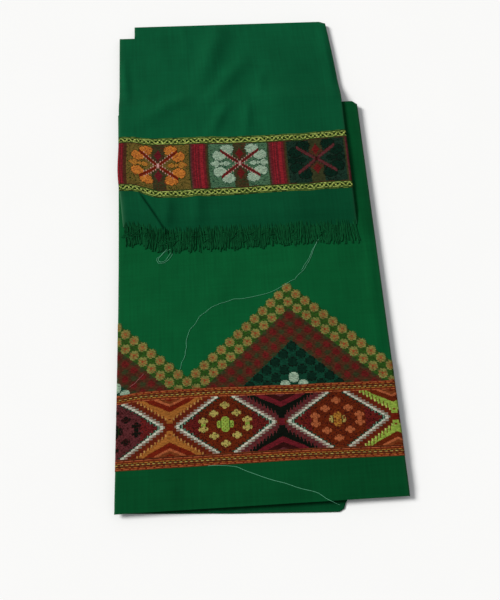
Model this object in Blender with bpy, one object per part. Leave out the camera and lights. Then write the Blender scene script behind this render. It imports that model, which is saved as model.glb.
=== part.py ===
"""A folded mekhela: one woven length of green cotton, folded in three across and in three
along, laid flat, with its fringed end turned back over the front.

The hem end, with the wide woven border, faces up. Under it lie the inner folds and the
length that rests on the table and shows at the foot as a fold. The other end comes over
the top fold and lies on the front, with its narrow border and its fringe.

Metres, +Z up. +Y runs from the hem to the top fold, and the underside rests on Z = 0.
"""

import math
import random

import bmesh
import bpy
from mathutils import Vector

MM = 0.001

# Cloth thicknesses, and the gap kept between one piece and the next
CLOTH = 1.2 * MM
GAP = 0.4 * MM
UNDER_LENGTH = 2.0 * MM
INNER_FOLDS = 5.0 * MM
END_FOLDS = 3.2 * MM

# The lower part, as folded: its outline on the table
HALF_WIDTH = 151.5 * MM
HEM_Y = -315 * MM
FOLD_Y = 182 * MM
LEFT_BOW = 3.4 * MM

# The fold that shows below the hem
FOOT_LEFT = Vector((-151.4 * MM, -313.4 * MM, 0))
FOOT_LOW = Vector((78.5 * MM, -325.5 * MM, 0))
FOOT_RIGHT = Vector((86 * MM, -317 * MM, 0))
INNER_Y = -312 * MM

# The end that is turned back over the front, on its own nominal columns and rows
END_LEFT = -150 * MM
END_RIGHT = 132 * MM
END_ROOT_Y = 4.6 * MM
END_ROOT_SLOPE = -0.018
END_LIFTED = 10.5 * MM
END_TOP_Y = 321 * MM
END_TOP_SLOPE = -0.04
END_FOLDS_LOW = 26 * MM
NOTCH_X = -129.5 * MM
NOTCH_Y = END_TOP_Y - 19 * MM
STEP_LENGTH = 26 * MM
BORDER_BULGE = 2.5 * MM

# Woven borders, measured up from the hem edge and from the fringe's root
HEM_BAND = (44.5 * MM, 127 * MM)
HEM_BAND_EDGE = 11.2 * MM
END_BAND = (47.5 * MM, 130 * MM)
END_BAND_EDGE = 10 * MM
BAND_RISE = 0.35 * MM
BAND_EDGE_RISE = 0.6 * MM
SHOULDER = 0.8 * MM

# Fringe
STRANDS = 104
STRAND_LENGTH = 26 * MM
STRAND_WIDTH = 1.6 * MM
STRAND_THICKNESS = 0.9 * MM
ROOT_STRIP = 1.3 * MM

# Radii of the rolled edges
SIDE_ROLL = 2.2 * MM
FOLD_ROLL = 3.8 * MM
END_ROLL = 1.9 * MM
END_FOLD_ROLL = 4.2 * MM
HEM_DROP = 1.3 * MM

# Heights worked out from the thicknesses
INNER_Z = UNDER_LENGTH + GAP
HEM_TOP = INNER_Z + INNER_FOLDS + GAP + CLOTH
END_FOLDS_Z = UNDER_LENGTH + GAP
END_TOP = END_FOLDS_Z + END_FOLDS + GAP + CLOTH
STEP_RISE = HEM_TOP + GAP - END_FOLDS_Z

# Creases: from (x, y) to (x, y), width and height, all in millimetres
HEM_CREASES = [
    # x0, y0, x1, y1, width, height
    (-118, -40, -96, -250, 22, 0.8),
    (60, -50, 84, -180, 26, 0.7),
    (143, 60, 138, -150, 8, 0.8),
    (-60, -300, 60, -297, 9, 0.5),
]
END_CREASES = [
    # x0, y0, x1, y1, width, height
    (-134, 68, -108, 14, 8, 2.6),
    (-92, 60, -96, 8, 7, 1.2),
    (-52, 58, -58, 10, 8, 1.0),
    (-38, 222, -2, 256, 12, 1.8),
    (-62, 300, -44, 236, 11, 1.6),
    (-18, 140, 12, 196, 12, 1.4),
    (18, 138, 44, 176, 10, 0.9),
    (30, 300, 14, 214, 16, 1.0),
    (-142, 276, -137, 196, 7, 1.5),
    (106, 306, 114, 240, 12, 1.2),
    (-110, 168, -70, 176, 14, 0.9),
    (92, 60, 100, 14, 12, 0.8),
]

GREEN = (0.006, 0.076, 0.026, 1.0)
DEEP_GREEN = (0.005, 0.058, 0.020, 1.0)
FRINGE_GREEN = (0.004, 0.040, 0.016, 1.0)


# Curves and creases


def smooth(t):
    """A soft step from 0 at t = 0 to 1 at t = 1."""
    t = min(max(t, 0.0), 1.0)
    return t * t * (3 - 2 * t)


def roll(distance, radius):
    """How far a surface has dropped, at a distance in from an edge rolled to that radius."""
    inside = min(max(distance, 0.0), radius)
    return radius - math.sqrt(radius**2 - (radius - inside) ** 2)


def crease_height(creases, x, y):
    """The height that the creases add at a place. Each is lower at both its ends."""
    total = 0.0
    here = Vector((x, y)) / MM
    for x0, y0, x1, y1, width, height in creases:
        start, run = Vector((x0, y0)), Vector((x1 - x0, y1 - y0))
        along = min(max((here - start).dot(run) / run.length_squared, 0.0), 1.0)
        away = (here - start - run * along).length
        fade = 0.55 + 0.45 * math.sin(math.pi * along)
        total += height * MM * fade * math.exp(-((away / width) ** 2))
    return total


def between(low, high, spacing):
    """Evenly spaced places from low up to, and without, high."""
    count = max(1, round((high - low) / spacing))
    return [low + (high - low) * k / count for k in range(count)]


# Solids


def material(name, colour):
    """A matt woven cloth finish."""
    cloth = bpy.data.materials.new(name)
    cloth.use_nodes = True
    shader = cloth.node_tree.nodes["Principled BSDF"]
    shader.inputs["Base Color"].default_value = colour
    shader.inputs["Roughness"].default_value = 0.85
    shader.inputs["Metallic"].default_value = 0.0
    return cloth


def add_object(name, bm, cloth):
    """Puts a finished bmesh into the scene as a named object, shaded smooth."""
    bmesh.ops.recalc_face_normals(bm, faces=bm.faces)
    mesh = bpy.data.meshes.new(name)
    bm.to_mesh(mesh)
    bm.free()
    mesh.shade_smooth()
    mesh.set_sharp_from_angle(angle=math.radians(40))
    mesh.materials.append(cloth)
    obj = bpy.data.objects.new(name, mesh)
    bpy.context.scene.collection.objects.link(obj)
    return obj


def slab(columns, rows, levels, keep):
    """A closed block of cells whose points are (column, row, level). Only its outline has
    points at the levels between the lowest, 0, and the highest. keep(column, row) is false
    where the cloth is cut away."""
    bm = bmesh.new()
    across, up = len(columns) - 1, len(rows) - 1
    bmesh.ops.create_grid(bm, x_segments=across, y_segments=up, size=1)
    for vertex in bm.verts:
        k, m = round((vertex.co.x + 1) / 2 * across), round((vertex.co.y + 1) / 2 * up)
        vertex.co = (columns[k], rows[m], 0)
    spare = [face for face in bm.faces if not keep(*face.calc_center_median().xy)]
    bmesh.ops.delete(bm, geom=spare, context="FACES")
    top = bm.faces[:]
    for level in range(1, levels):
        made = bmesh.ops.extrude_face_region(bm, geom=top, use_keep_orig=level == 1)["geom"]
        if level > 1:
            bmesh.ops.delete(bm, geom=[f for f in top if f.is_valid], context="FACES")
        top = [item for item in made if isinstance(item, bmesh.types.BMFace)]
        for vertex in {vertex for face in top for vertex in face.verts}:
            vertex.co.z = level
    return bm


def everywhere(column, row):
    """Nothing is cut away."""
    return True


def outward(place, column, row):
    """The direction that a placed surface faces."""
    step = 0.5 * MM
    across = place(column + step, row) - place(column - step, row)
    up = place(column, row + step) - place(column, row - step)
    return across.cross(up).normalized()


def cloth_wall(name, columns, rows, place, relief, cloth, keep=everywhere):
    """A wall of cloth. place(column, row) gives its outer face, and relief(column, row) what
    the weave raises on that face."""
    bm = slab(columns, rows, 2, keep)
    for vertex in bm.verts:
        column, row, level = vertex.co
        out = relief(column, row) if level > 0.5 else -CLOTH
        vertex.co = place(column, row) + outward(place, column, row) * out
    return add_object(name, bm, cloth)


# The length on the table


def under_length(cloth):
    """The length that rests on the table, from the fold at the foot to the top fold."""
    edge = 1.2 * MM
    left, right = -HALF_WIDTH + LEFT_BOW + edge, HALF_WIDTH - edge
    top_row = END_TOP_Y - edge
    outline = [
        FOOT_LEFT,
        FOOT_LEFT.lerp(FOOT_LOW, 0.5) - Vector((0, 0.5 * MM, 0)),
        FOOT_LOW,
        FOOT_LOW.lerp(FOOT_RIGHT, 0.5) + Vector((1.6 * MM, -1.4 * MM, 0)),
        FOOT_RIGHT,
        Vector((FOOT_RIGHT.x + 3 * MM, INNER_Y, 0)),
        Vector((right, INNER_Y, 0)),
        Vector((right, FOLD_Y - 5 * MM, 0)),
        Vector((right - 4 * MM, FOLD_Y - edge, 0)),
        end_plan(END_RIGHT - edge, FOLD_Y + 5 * MM),
        end_plan(END_RIGHT - edge, top_row - 12 * MM),
        end_plan(END_RIGHT - 6 * MM, top_row),
        end_plan(NOTCH_X + edge, top_row),
        end_plan(NOTCH_X + edge, NOTCH_Y - edge),
        end_plan(END_LEFT + edge, NOTCH_Y - edge),
        end_plan(END_LEFT + edge, FOLD_Y + 5 * MM),
        Vector((left, 0, 0)),
        Vector((left, HEM_Y * 0.6, 0)),
    ]
    bm = bmesh.new()
    top = bm.faces.new([bm.verts.new(point) for point in outline])
    for level, bulge in ((0.5, 0.4), (1.0, -0.4)):
        keep_underside = level < 1
        made = bmesh.ops.extrude_face_region(bm, geom=[top], use_keep_orig=keep_underside)["geom"]
        if not keep_underside and top.is_valid:
            bm.faces.remove(top)
        top = next(item for item in made if isinstance(item, bmesh.types.BMFace))
        grow(top, bulge * UNDER_LENGTH)
        for vertex in top.verts:
            vertex.co.z = level * UNDER_LENGTH
    return add_object("under_length", bm, cloth)


def grow(face, distance):
    """Moves the outline of a flat face outwards, or inwards where distance is negative."""
    points = [vertex.co.copy() for vertex in face.verts]
    area = sum(a.cross(b).z for a, b in zip(points, points[1:] + points[:1]))
    side = math.copysign(1, area)
    for k, vertex in enumerate(face.verts):
        before = (points[k] - points[k - 1]).normalized()
        after = (points[(k + 1) % len(points)] - points[k]).normalized()
        along = (before + after).normalized()
        vertex.co += Vector((along.y, -along.x, 0)) * distance * side


# The layers folded inside


def rounded_outline(half_x, low, high, radius):
    """A rectangle with rounded corners, as points in the plane, with points on its sides."""
    arcs = []
    for turn, (x, y) in enumerate(((1, 1), (-1, 1), (-1, -1), (1, -1))):
        centre = Vector((x * (half_x - radius), high - radius if y > 0 else low + radius, 0))
        angles = [math.radians(90 * turn + 22.5 * k) for k in range(5)]
        arcs.append([centre + radius * Vector((math.cos(a), math.sin(a), 0)) for a in angles])
    outline = []
    for arc, ahead, steps in zip(arcs, arcs[1:] + arcs[:1], (6, 9, 6, 9)):
        outline += arc
        outline += [arc[-1].lerp(ahead[0], k / steps) for k in range(1, steps)]
    return outline


def inner_folds(cloth):
    """The hidden layers of the lower part: one solid, grooved at its edges between layers."""
    groove = 0.6 * MM
    wander = 0.3 * MM
    layers = [
        # inset from the outline, and how much shorter at the foot
        (1.5 * MM, 0.0),
        (2.2 * MM, 3 * MM),
        (4.0 * MM, 16 * MM),
    ]
    rng = random.Random(7)
    bm = bmesh.new()
    loops = []
    for layer, (inset, shorter) in enumerate(layers):
        half_x, high = HALF_WIDTH - inset, FOLD_Y - inset
        outline = rounded_outline(half_x, INNER_Y + shorter, high, 8 * MM)
        middle = Vector((0, (INNER_Y + FOLD_Y) / 2, 0))
        uneven = [rng.uniform(-wander, wander) for _ in outline]
        for rise, back in ((0.0, groove), (0.3, 0.0), (0.7, 0.0), (1.0, groove)):
            height = INNER_Z + INNER_FOLDS * (layer + rise) / len(layers)
            loop = []
            for point, out in zip(outline, uneven):
                moved = point + (point - middle).normalized() * (out - back)
                loop.append(bm.verts.new((bowed(moved.x, moved.y), moved.y, height)))
            loops.append(loop)
    bm.faces.new(loops[0])
    bm.faces.new(loops[-1])
    for lower, upper in zip(loops, loops[1:]):
        for k in range(len(lower)):
            ahead = (k + 1) % len(lower)
            bm.faces.new((lower[k], lower[ahead], upper[ahead], upper[k]))
    return add_object("inner_folds", bm, cloth)


# The hem end, facing up


def bowed(x, y):
    """Where a place on the lower part lies across, with its left edge bowed in."""
    along = min(max((y - HEM_Y) / (FOLD_Y - HEM_Y), 0.0), 1.0)
    bow = LEFT_BOW * (0.3 + 0.7 * math.sin(math.pi * along))
    return x + bow * (HALF_WIDTH - x) / (2 * HALF_WIDTH)


def band_rows(start, band, edge):
    """Places up through a woven border, close at the sides of its raised stripes."""
    low, high = start + band[0], start + band[1]
    rows = [low - SHOULDER, low, low + edge - SHOULDER, low + edge]
    rows += between(low + edge, high - edge, 15 * MM)[1:]
    return rows + [high - edge, high - edge + SHOULDER, high, high + SHOULDER]


def band_rise(up, band, edge):
    """What a woven border raises, at a distance up the cloth: its edge stripes stand a
    little prouder than the figured part between them."""
    low, high = band
    if not low - SHOULDER / 2 <= up <= high + SHOULDER / 2:
        return 0.0
    in_edge = up < low + edge - SHOULDER / 2 or up > high - edge + SHOULDER / 2
    return BAND_EDGE_RISE if in_edge else BAND_RISE


def hem_place(x, y):
    """The hem end's outer face: rolled down at its sides and top fold, and let down at the
    free edge of the hem."""
    side = min(x + HALF_WIDTH, HALF_WIDTH - x)
    drop = max(roll(side, SIDE_ROLL), roll(FOLD_Y - y, FOLD_ROLL))
    drop += HEM_DROP * (1 - smooth((y - HEM_Y) / (14 * MM)))
    uncovered = smooth((END_ROOT_Y - STRAND_LENGTH - 14 * MM - y) / (20 * MM))
    if x > END_RIGHT + 4 * MM:
        uncovered = 1.0
    raised = crease_height(HEM_CREASES, x, y) * uncovered * smooth(side / (6 * MM))
    return Vector((bowed(x, y), y, HEM_TOP - drop + raised))


def hem_panel(cloth):
    """The hem end's outer layer, with its wide woven border."""
    near = (0.0, 0.3 * SIDE_ROLL, SIDE_ROLL)
    columns = [-HALF_WIDTH + inside for inside in near]
    columns += between(-HALF_WIDTH + 9 * MM, HALF_WIDTH - 22 * MM, 17 * MM)
    columns += [HALF_WIDTH - inside for inside in (22 * MM, 14 * MM, 8 * MM)]
    columns += [HALF_WIDTH - inside for inside in reversed(near)]
    rows = [HEM_Y + up * MM for up in (0, 5, 12, 20, 32)]
    rows += band_rows(HEM_Y, HEM_BAND, HEM_BAND_EDGE)
    rows += between(rows[-1] + 10 * MM, FOLD_Y - 12 * MM, 20 * MM)
    rows += [FOLD_Y - 12 * MM] + [FOLD_Y - FOLD_ROLL * inside for inside in (1.0, 0.3, 0.0)]

    def relief(x, y):
        return band_rise(y - HEM_Y, HEM_BAND, HEM_BAND_EDGE)

    return cloth_wall("hem_panel", columns, rows, hem_place, relief, cloth)


# The end that is turned back


def end_plan(column, row):
    """Where a place on the turned-back end lies in plan. Its left edge bows in but for the
    border's stiff edge, its right edge draws in to the top fold, and a crease draws up the
    left of its foot."""
    above_band = END_ROOT_Y + 40 * MM
    foot = 1 - smooth((row - above_band) / (FOLD_Y - above_band))
    head = smooth((row - FOLD_Y) / (END_TOP_Y - FOLD_Y))
    lifted = END_LIFTED * (1 - smooth((column / MM + 136) / 36))
    y = row + foot * (END_ROOT_SLOPE * column + lifted) + head * END_TOP_SLOPE * column
    left = END_LEFT + 9 * MM * math.exp(-max(y, 0.0) / (90 * MM))
    left -= BORDER_BULGE * math.exp(-(((y - 92 * MM) / (34 * MM)) ** 2))
    right = END_RIGHT - 9 * MM * max(0.0, (y - FOLD_Y) / (140 * MM)) ** 1.5
    across = (column - END_LEFT) / (END_RIGHT - END_LEFT)
    return Vector((left + (right - left) * across, y, 0))


def step_lift(y):
    """The end climbs from the table on to the lower part, over that part's top fold."""
    return STEP_RISE * (1 - smooth((y - FOLD_Y - 2 * MM) / STEP_LENGTH))


def end_place(column, row):
    """The turned-back end's outer face: over its own inner folds, let down at its foot on to
    the hem end, and rolled down at its edges, round the notch as well."""
    by_notch = column < NOTCH_X + 0.01 * MM
    below_notch = row < NOTCH_Y + 0.01 * MM
    top = NOTCH_Y if by_notch and below_notch else END_TOP_Y
    left = END_LEFT if below_notch else NOTCH_X
    side = min(column - left, END_RIGHT - column)
    up = row - END_ROOT_Y
    over_folds = smooth((up - 1 * MM) / (END_FOLDS_LOW - 4 * MM))
    drop = max(roll(side, END_ROLL), roll(top - row, END_FOLD_ROLL)) * over_folds
    drop += (END_FOLDS + GAP) * (1 - over_folds)
    point = end_plan(column, row)
    soft = smooth(side / (7 * MM)) * smooth(up / (16 * MM)) * smooth((top - row) / (9 * MM))
    point.z = END_TOP + step_lift(point.y) - drop
    point.z += crease_height(END_CREASES, point.x, point.y) * soft
    return point


def beside_notch(column, row):
    """False in the corner that is tucked away at the top left."""
    return not (column < NOTCH_X and row > NOTCH_Y)


def end_panel(cloth):
    """The turned-back end's outer layer, with its woven border."""
    near = (0.0, 0.3, 1.0)
    columns = [END_LEFT + END_ROLL * inside for inside in near]
    columns += [END_LEFT + 8 * MM, NOTCH_X - 4 * MM]
    columns += [NOTCH_X + END_ROLL * inside for inside in near]
    columns += between(NOTCH_X + 9 * MM, END_RIGHT - 8 * MM, 13 * MM)
    columns += [END_RIGHT - 8 * MM] + [END_RIGHT - END_ROLL * inside for inside in reversed(near)]
    rows = between(END_ROOT_Y, END_ROOT_Y + END_BAND[0] - 6 * MM, 8 * MM)
    rows += band_rows(END_ROOT_Y, END_BAND, END_BAND_EDGE)
    rows += between(rows[-1] + 12 * MM, FOLD_Y, 12 * MM)
    rows += between(FOLD_Y, FOLD_Y + STEP_LENGTH + 4 * MM, 6 * MM)
    rows += between(FOLD_Y + STEP_LENGTH + 4 * MM, NOTCH_Y - 12 * MM, 13 * MM)
    rows += [NOTCH_Y - END_FOLD_ROLL * inside for inside in (2.6, 1.0, 0.3, 0.0)]
    rows += [END_TOP_Y - END_FOLD_ROLL * inside for inside in (2.6, 1.0, 0.3, 0.0)]

    def relief(column, row):
        return band_rise(row - END_ROOT_Y, END_BAND, END_BAND_EDGE)

    return cloth_wall("end_panel", columns, rows, end_place, relief, cloth, beside_notch)


def end_folds(cloth):
    """The hidden layers of the turned-back end, from the top fold down to above its foot:
    one solid, grooved at its edges between layers."""
    groove = 0.7 * MM
    side_inset = CLOTH + GAP
    top_inset = END_FOLD_ROLL + GAP
    profile = [
        # share of the height, and how far the edge stands back
        (0.0, groove),
        (0.15, 0.0),
        (0.35, 0.0),
        (0.5, groove),
        (0.65, 0.0),
        (0.85, 0.0),
        (1.0, groove),
    ]
    notch_x, notch_y = NOTCH_X + side_inset, NOTCH_Y - top_inset
    columns = [END_LEFT + side_inset, notch_x]
    columns += between(notch_x + 30 * MM, END_RIGHT - side_inset, 38 * MM)
    columns.append(END_RIGHT - side_inset)
    rows = between(END_ROOT_Y + END_FOLDS_LOW, FOLD_Y, 32 * MM)
    rows += between(FOLD_Y, FOLD_Y + STEP_LENGTH + 4 * MM, 6 * MM)
    rows += between(FOLD_Y + STEP_LENGTH + 4 * MM, notch_y, 40 * MM)
    rows += [notch_y, END_TOP_Y - top_inset]

    def keep(column, row):
        return not (column < notch_x and row > notch_y)

    bm = slab(columns, rows, len(profile), keep)
    rim = {vertex for edge in bm.edges if is_side(edge) for vertex in edge.verts}
    for vertex in bm.verts:
        column, row, level = vertex.co
        share, back = profile[round(level)]
        if vertex in rim:
            column += back if column < 0 else -back
            row += back if row < FOLD_Y else -back
        vertex.co = end_plan(column, row)
        vertex.co.z = END_FOLDS_Z + share * END_FOLDS + step_lift(vertex.co.y)
    return add_object("end_folds", bm, cloth)


def is_side(edge):
    """True for an edge that climbs the outline of a slab from one level to the next."""
    return abs(edge.verts[0].co.z - edge.verts[1].co.z) > 0.5


# Fringe


def fringe(cloth):
    """The fringe: strands drawn out of a narrow strip along the foot of the turned-back end."""
    rng = random.Random(11)
    strip_z = HEM_TOP + GAP + 0.1 * MM
    left, right = END_LEFT + 1 * MM, END_RIGHT - 1 * MM
    pitch = (right - left) / STRANDS
    corners = ((0, STRAND_THICKNESS), (0, 0), (-ROOT_STRIP, 0), (-ROOT_STRIP, STRAND_THICKNESS))
    bm = bmesh.new()
    sections = []
    for k in range(STRANDS):
        for half in (-STRAND_WIDTH / 2, STRAND_WIDTH / 2):
            root = end_plan(left + pitch * (k + 0.5) + half, END_ROOT_Y) - Vector((0, 0.3 * MM, 0))
            section = [root + Vector((0, dy, strip_z + dz)) for dy, dz in corners]
            sections.append([bm.verts.new(point) for point in section])
    fronts = []
    for k, (here, ahead) in enumerate(zip(sections, sections[1:])):
        for side in range(4):
            after = (side + 1) % 4
            face = bm.faces.new((here[side], here[after], ahead[after], ahead[side]))
            if side == 2 and k % 2 == 0:
                fronts.append(face)
    bm.faces.new(sections[0])
    bm.faces.new(sections[-1])
    for k, front in enumerate(fronts):
        lean = 2.4 * MM * math.sin(k * 0.31) + 1.2 * MM * math.sin(k * 0.83 + 1)
        draw_strand(bm, front, STRAND_LENGTH * rng.uniform(0.8, 1.0), lean)
    return add_object("fringe", bm, cloth)


def draw_strand(bm, front, length, lean):
    """Draws one strand out of its face on the strip, thinner and lower towards its tip."""
    sag = 0.2 * MM
    start = front.calc_center_median()
    offsets = [vertex.co - start for vertex in front.verts]
    face = front
    for share, scale in ((0.5, 0.8), (1.0, 0.45)):
        face = bmesh.ops.extrude_discrete_faces(bm, faces=[face])["faces"][0]
        centre = start + Vector((lean * share**1.5, -length * share, -sag * share))
        for vertex, offset in zip(face.verts, offsets):
            vertex.co = centre + offset * scale


def main():
    for obj in list(bpy.data.objects):
        bpy.data.objects.remove(obj)
    green = material("green_cloth", GREEN)
    folds = material("folded_cloth", DEEP_GREEN)
    yarn = material("fringe_yarn", FRINGE_GREEN)
    made = [
        under_length(folds),
        inner_folds(folds),
        hem_panel(green),
        end_folds(folds),
        end_panel(green),
        fringe(yarn),
    ]
    bundle = bpy.data.objects.new("mekhela", None)
    bpy.context.scene.collection.objects.link(bundle)
    for obj in made:
        obj.parent = bundle


main()
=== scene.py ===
"""The looks of a folded mekhela: green cotton with extra-weft borders, laid flat on a pale floor.

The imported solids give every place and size. Each visible stretch of cloth is a thin shell on
its solid's form. The woven borders are pads of small cells, one cell for each stitch of
extra weft, and the fringe and the stray threads are yarns.

Metres, +Z up. +Y runs from the hem to the top fold, and the underside rests on Z = 0.
"""

import math
import random
from contextlib import contextmanager

import bpy
from bpy.props import FloatProperty, FloatVectorProperty, IntProperty, PointerProperty
from mathutils import Color, Matrix, Vector, noise


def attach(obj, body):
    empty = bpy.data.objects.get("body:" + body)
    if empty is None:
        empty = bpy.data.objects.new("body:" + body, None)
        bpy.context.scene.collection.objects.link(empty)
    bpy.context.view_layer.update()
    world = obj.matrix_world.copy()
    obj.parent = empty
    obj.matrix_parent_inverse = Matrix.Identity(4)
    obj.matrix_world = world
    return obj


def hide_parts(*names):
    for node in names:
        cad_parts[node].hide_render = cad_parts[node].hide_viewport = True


bl_info = {
    "name": "Folded mekhela",
    "version": (1, 0, 0),
    "blender": (4, 5, 0),
    "location": "View3D > Sidebar > Mekhela",
    "description": "Dresses the folded mekhela's solids with woven cloth, borders and fringe",
    "category": "Object",
}

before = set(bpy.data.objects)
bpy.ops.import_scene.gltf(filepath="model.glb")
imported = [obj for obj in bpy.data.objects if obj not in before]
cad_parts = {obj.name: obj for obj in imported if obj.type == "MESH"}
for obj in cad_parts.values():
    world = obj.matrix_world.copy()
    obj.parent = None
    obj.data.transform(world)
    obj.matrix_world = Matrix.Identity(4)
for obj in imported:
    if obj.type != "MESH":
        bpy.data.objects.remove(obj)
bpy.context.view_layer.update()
MM = 0.001

# Thicknesses and heights of the solids
CLOTH = 1.2 * MM
GAP = 0.4 * MM
UNDER_LENGTH = 2.0 * MM
INNER_FOLDS = 5.0 * MM
END_FOLDS = 3.2 * MM
INNER_Z = UNDER_LENGTH + GAP
HEM_TOP = INNER_Z + INNER_FOLDS + GAP + CLOTH
END_FOLDS_Z = UNDER_LENGTH + GAP
END_TOP = END_FOLDS_Z + END_FOLDS + GAP + CLOTH
STEP_RISE = HEM_TOP + GAP - END_FOLDS_Z

# The lower part, as folded
HALF_WIDTH = 151.5 * MM
HEM_Y = -315 * MM
FOLD_Y = 182 * MM
LEFT_BOW = 3.4 * MM
FOOT_LEFT = Vector((-151.4 * MM, -313.4 * MM, 0))
FOOT_LOW = Vector((78.5 * MM, -325.5 * MM, 0))
FOOT_RIGHT = Vector((86 * MM, -317 * MM, 0))
INNER_Y = -312 * MM
SIDE_ROLL = 2.2 * MM
FOLD_ROLL = 3.8 * MM
HEM_DROP = 1.3 * MM

# The end that is turned back over the front
END_LEFT = -150 * MM
END_RIGHT = 132 * MM
END_ROOT_Y = 4.6 * MM
END_ROOT_SLOPE = -0.018
END_LIFTED = 10.5 * MM
END_TOP_Y = 321 * MM
END_TOP_SLOPE = -0.04
END_FOLDS_LOW = 26 * MM
NOTCH_X = -129.5 * MM
NOTCH_Y = END_TOP_Y - 19 * MM
STEP_LENGTH = 34 * MM
FOOT_SINK = 0.6 * MM
END_ROLL = 1.9 * MM
END_FOLD_ROLL = 4.2 * MM

# How that end lies in plan: its foot is lifted at the left of LIFTED_X, its sides draw in
# towards the foot and the head, and its left side bulges beside the border
LIFTED_X = -136 * MM
DRAWN_IN = 9 * MM
FOOT_REACH = 90 * MM
HEAD_REACH = 140 * MM
BORDER_BULGE = 2.5 * MM
BULGE_Y = 92 * MM
BULGE_REACH = 34 * MM

# Creases: from (x, y) to (x, y), width and height, all in millimetres
HEM_CREASES = [
    # x0, y0, x1, y1, width, height
    (-118, -40, -96, -250, 22, 1.6),
    (52, -30, 62, -190, 42, 3.2),
    (143, 60, 138, -150, 7, 1.6),
    (-30, -60, -70, -120, 16, 1.1),
    (-60, -300, 60, -297, 9, 0.5),
    (-96, -284, -92, -312, 12, 0.8),
    (20, -280, 26, -312, 14, 0.8),
]
END_CREASES = [
    # x0, y0, x1, y1, width, height
    (-18, 306, -42, 226, 15, 6.6),
    (9, 252, -30, 198, 12, 5.2),
    (33, 232, 31, 200, 5, 1.4),
    (120, 300, 124, 190, 8, 2.4),
    (66, 230, 52, 140, 28, 3.6),
    (-143, 262, -139, 204, 6, 1.7),
    (-134, 258, -131, 208, 6, -0.6),
    (-97, 308, -95, 262, 10, 0.8),
    (-65, 312, -60, 276, 7, 1.5),
    (-118, 166, -56, 204, 11, 3.2),
    (-14, 180, -33, 142, 8, 3.4),
    (14, 178, 10, 138, 6, 2.6),
    (-89, 50, -91, 10, 8, 3.0),
    (-53, 58, -55, 14, 8, 2.8),
    (60, 56, 66, 14, 16, 1.6),
]

# How the sides of the narrow border are pulled in the photo: place across and pull up, in mm
UPPER_PULL = [(-150, 5), (-134, 4.5), (-119, 2.6), (-50, 1.2), (-8, -1.4), (45, -3), (76, -3)]
UPPER_PULL += [(100, -1.2), (132, 0)]
LOWER_PULL = [(-150, 0), (-119, -1.6), (-91, -2.6), (-8, -2.6), (30, -1.2), (76, -1.6), (100, 0)]

# The same for the wide border
HEM_UPPER_PULL = [(-150, -1.8), (-124, 0.6), (-50, 1.0), (0, -0.5), (52, -2.4), (150, -3.3)]
HEM_LOWER_PULL = [(-150, -1.1), (50, -1.1), (80, -2), (150, -3.2)]

# The flap at the left of the fringed foot: its sharp edge runs from the border to the fringe.
# Places and widths are in millimetres
FLAP_TOP = Vector((-125, 62))
FLAP_FOOT = Vector((-92, 4))
FLAP_RISE = 3.0 * MM
FLAP_FADE = 17
FLAP_EDGE = 1.6
FLAP_VALLEY = 0.9 * MM
FLAP_VALLEY_AWAY = 3.5
FLAP_VALLEY_WIDTH = 2.0

# Woven borders: how far up the cloth they lie, and their stitches
HEM_BAND = (44.5 * MM, 127.2 * MM)
HEM_STITCHES = (322, 97)
HEM_EDGE_ROWS = (14, 12)
HEM_MIDDLE_ROW = 49
HEM_CROSSINGS = (61, 188, 316)
HEM_CENTRES = (-2, 124, 251)
END_BAND = (47.5 * MM, 130 * MM)
END_STITCHES = (294, 84)
END_EDGE_ROWS = 11
END_MIDDLE_ROW = 44
END_BLOCKS = (51, 155, 252)
END_COLUMNS = (103, 203)
END_SIDE_COLUMNS = (7, 11, 289)
STEM_SLOPE = 0.77

# The zigzag of rosettes, in stitches from its left end and from the wide border
ZIGZAG_STITCHES = (312, 139)
ZIGZAG_STITCH_HEIGHT = 0.87 * MM
PEAK_COLUMN = 199
PEAK_ROW = 129
ROSETTE_STEP = 10
ROSETTES_TO_VALLEY = 12


def mirrored(*rows):
    """A chart whose lower half mirrors its upper half. Its last row given is its middle."""
    return rows + rows[-2::-1]


# Small figures, charted stitch by stitch
ROSETTE = mirrored(
    "...YYYYY...",
    ".YYYGYGYYY.",
    ".YGGGGGGGY.",
    "YGGOGOGOGGY",
    "YGOOGGGOOGY",
    "YGGGRRRGGGY",
    "YGOGRRRGOGY",
)
FLORET = mirrored(
    "....###....",
    "...#####...",
    ".#.#####.#.",
    "###########",
    "#####o#####",
)
TALL_FLOWER = mirrored(
    ".......#####.......",
    "......#######......",
    ".....####.####.....",
    ".....#########.....",
    ".....##.###.##.....",
    ".###=#########=###.",
    "####=####.####=####",
    "#.##=#########=##.#",
    "####=##.###.##=####",
    "##.#=#########=#.##",
)
PETAL = (
    "......####.......",
    "....#######.##...",
    "..############...",
    ".########o######.",
    "################.",
    ".####o###########",
    "###########o####.",
    "######o##########",
    ".###############.",
    "..##########o###.",
    ".###o##########..",
    "..#############..",
    "....####.#####...",
    ".....##...##.....",
)
SPRAY = mirrored(
    "................###......",
    "....##.........#####.....",
    "..######.##...###o###.#..",
    ".####o##.####.##o#######.",
    "###oo######o##o####o##oo#",
)

# Yarns of the three diamonds, from the left: florets and their specks, heart, flanks, ground
DIAMOND_YARNS = (
    ("black", "maroon", "black", "black", "plum"),
    ("straw", "moss", "lime", "lime", "earth"),
    ("salmon", "rust", "amber", "straw", "earth"),
)
# Of the three places where diamonds meet: arms and their tips, then the chevrons, inwards
CHEVRON_YARNS = (
    ("orange", "peach", "earth", "blood", "salmon", "rust", "blood"),
    ("black", "black", "plum", "rose", "maroon", "maroon", "plum"),
    ("lime", "chartreuse", "earth", "earth", "salmon", "rust", "earth"),
)
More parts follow.
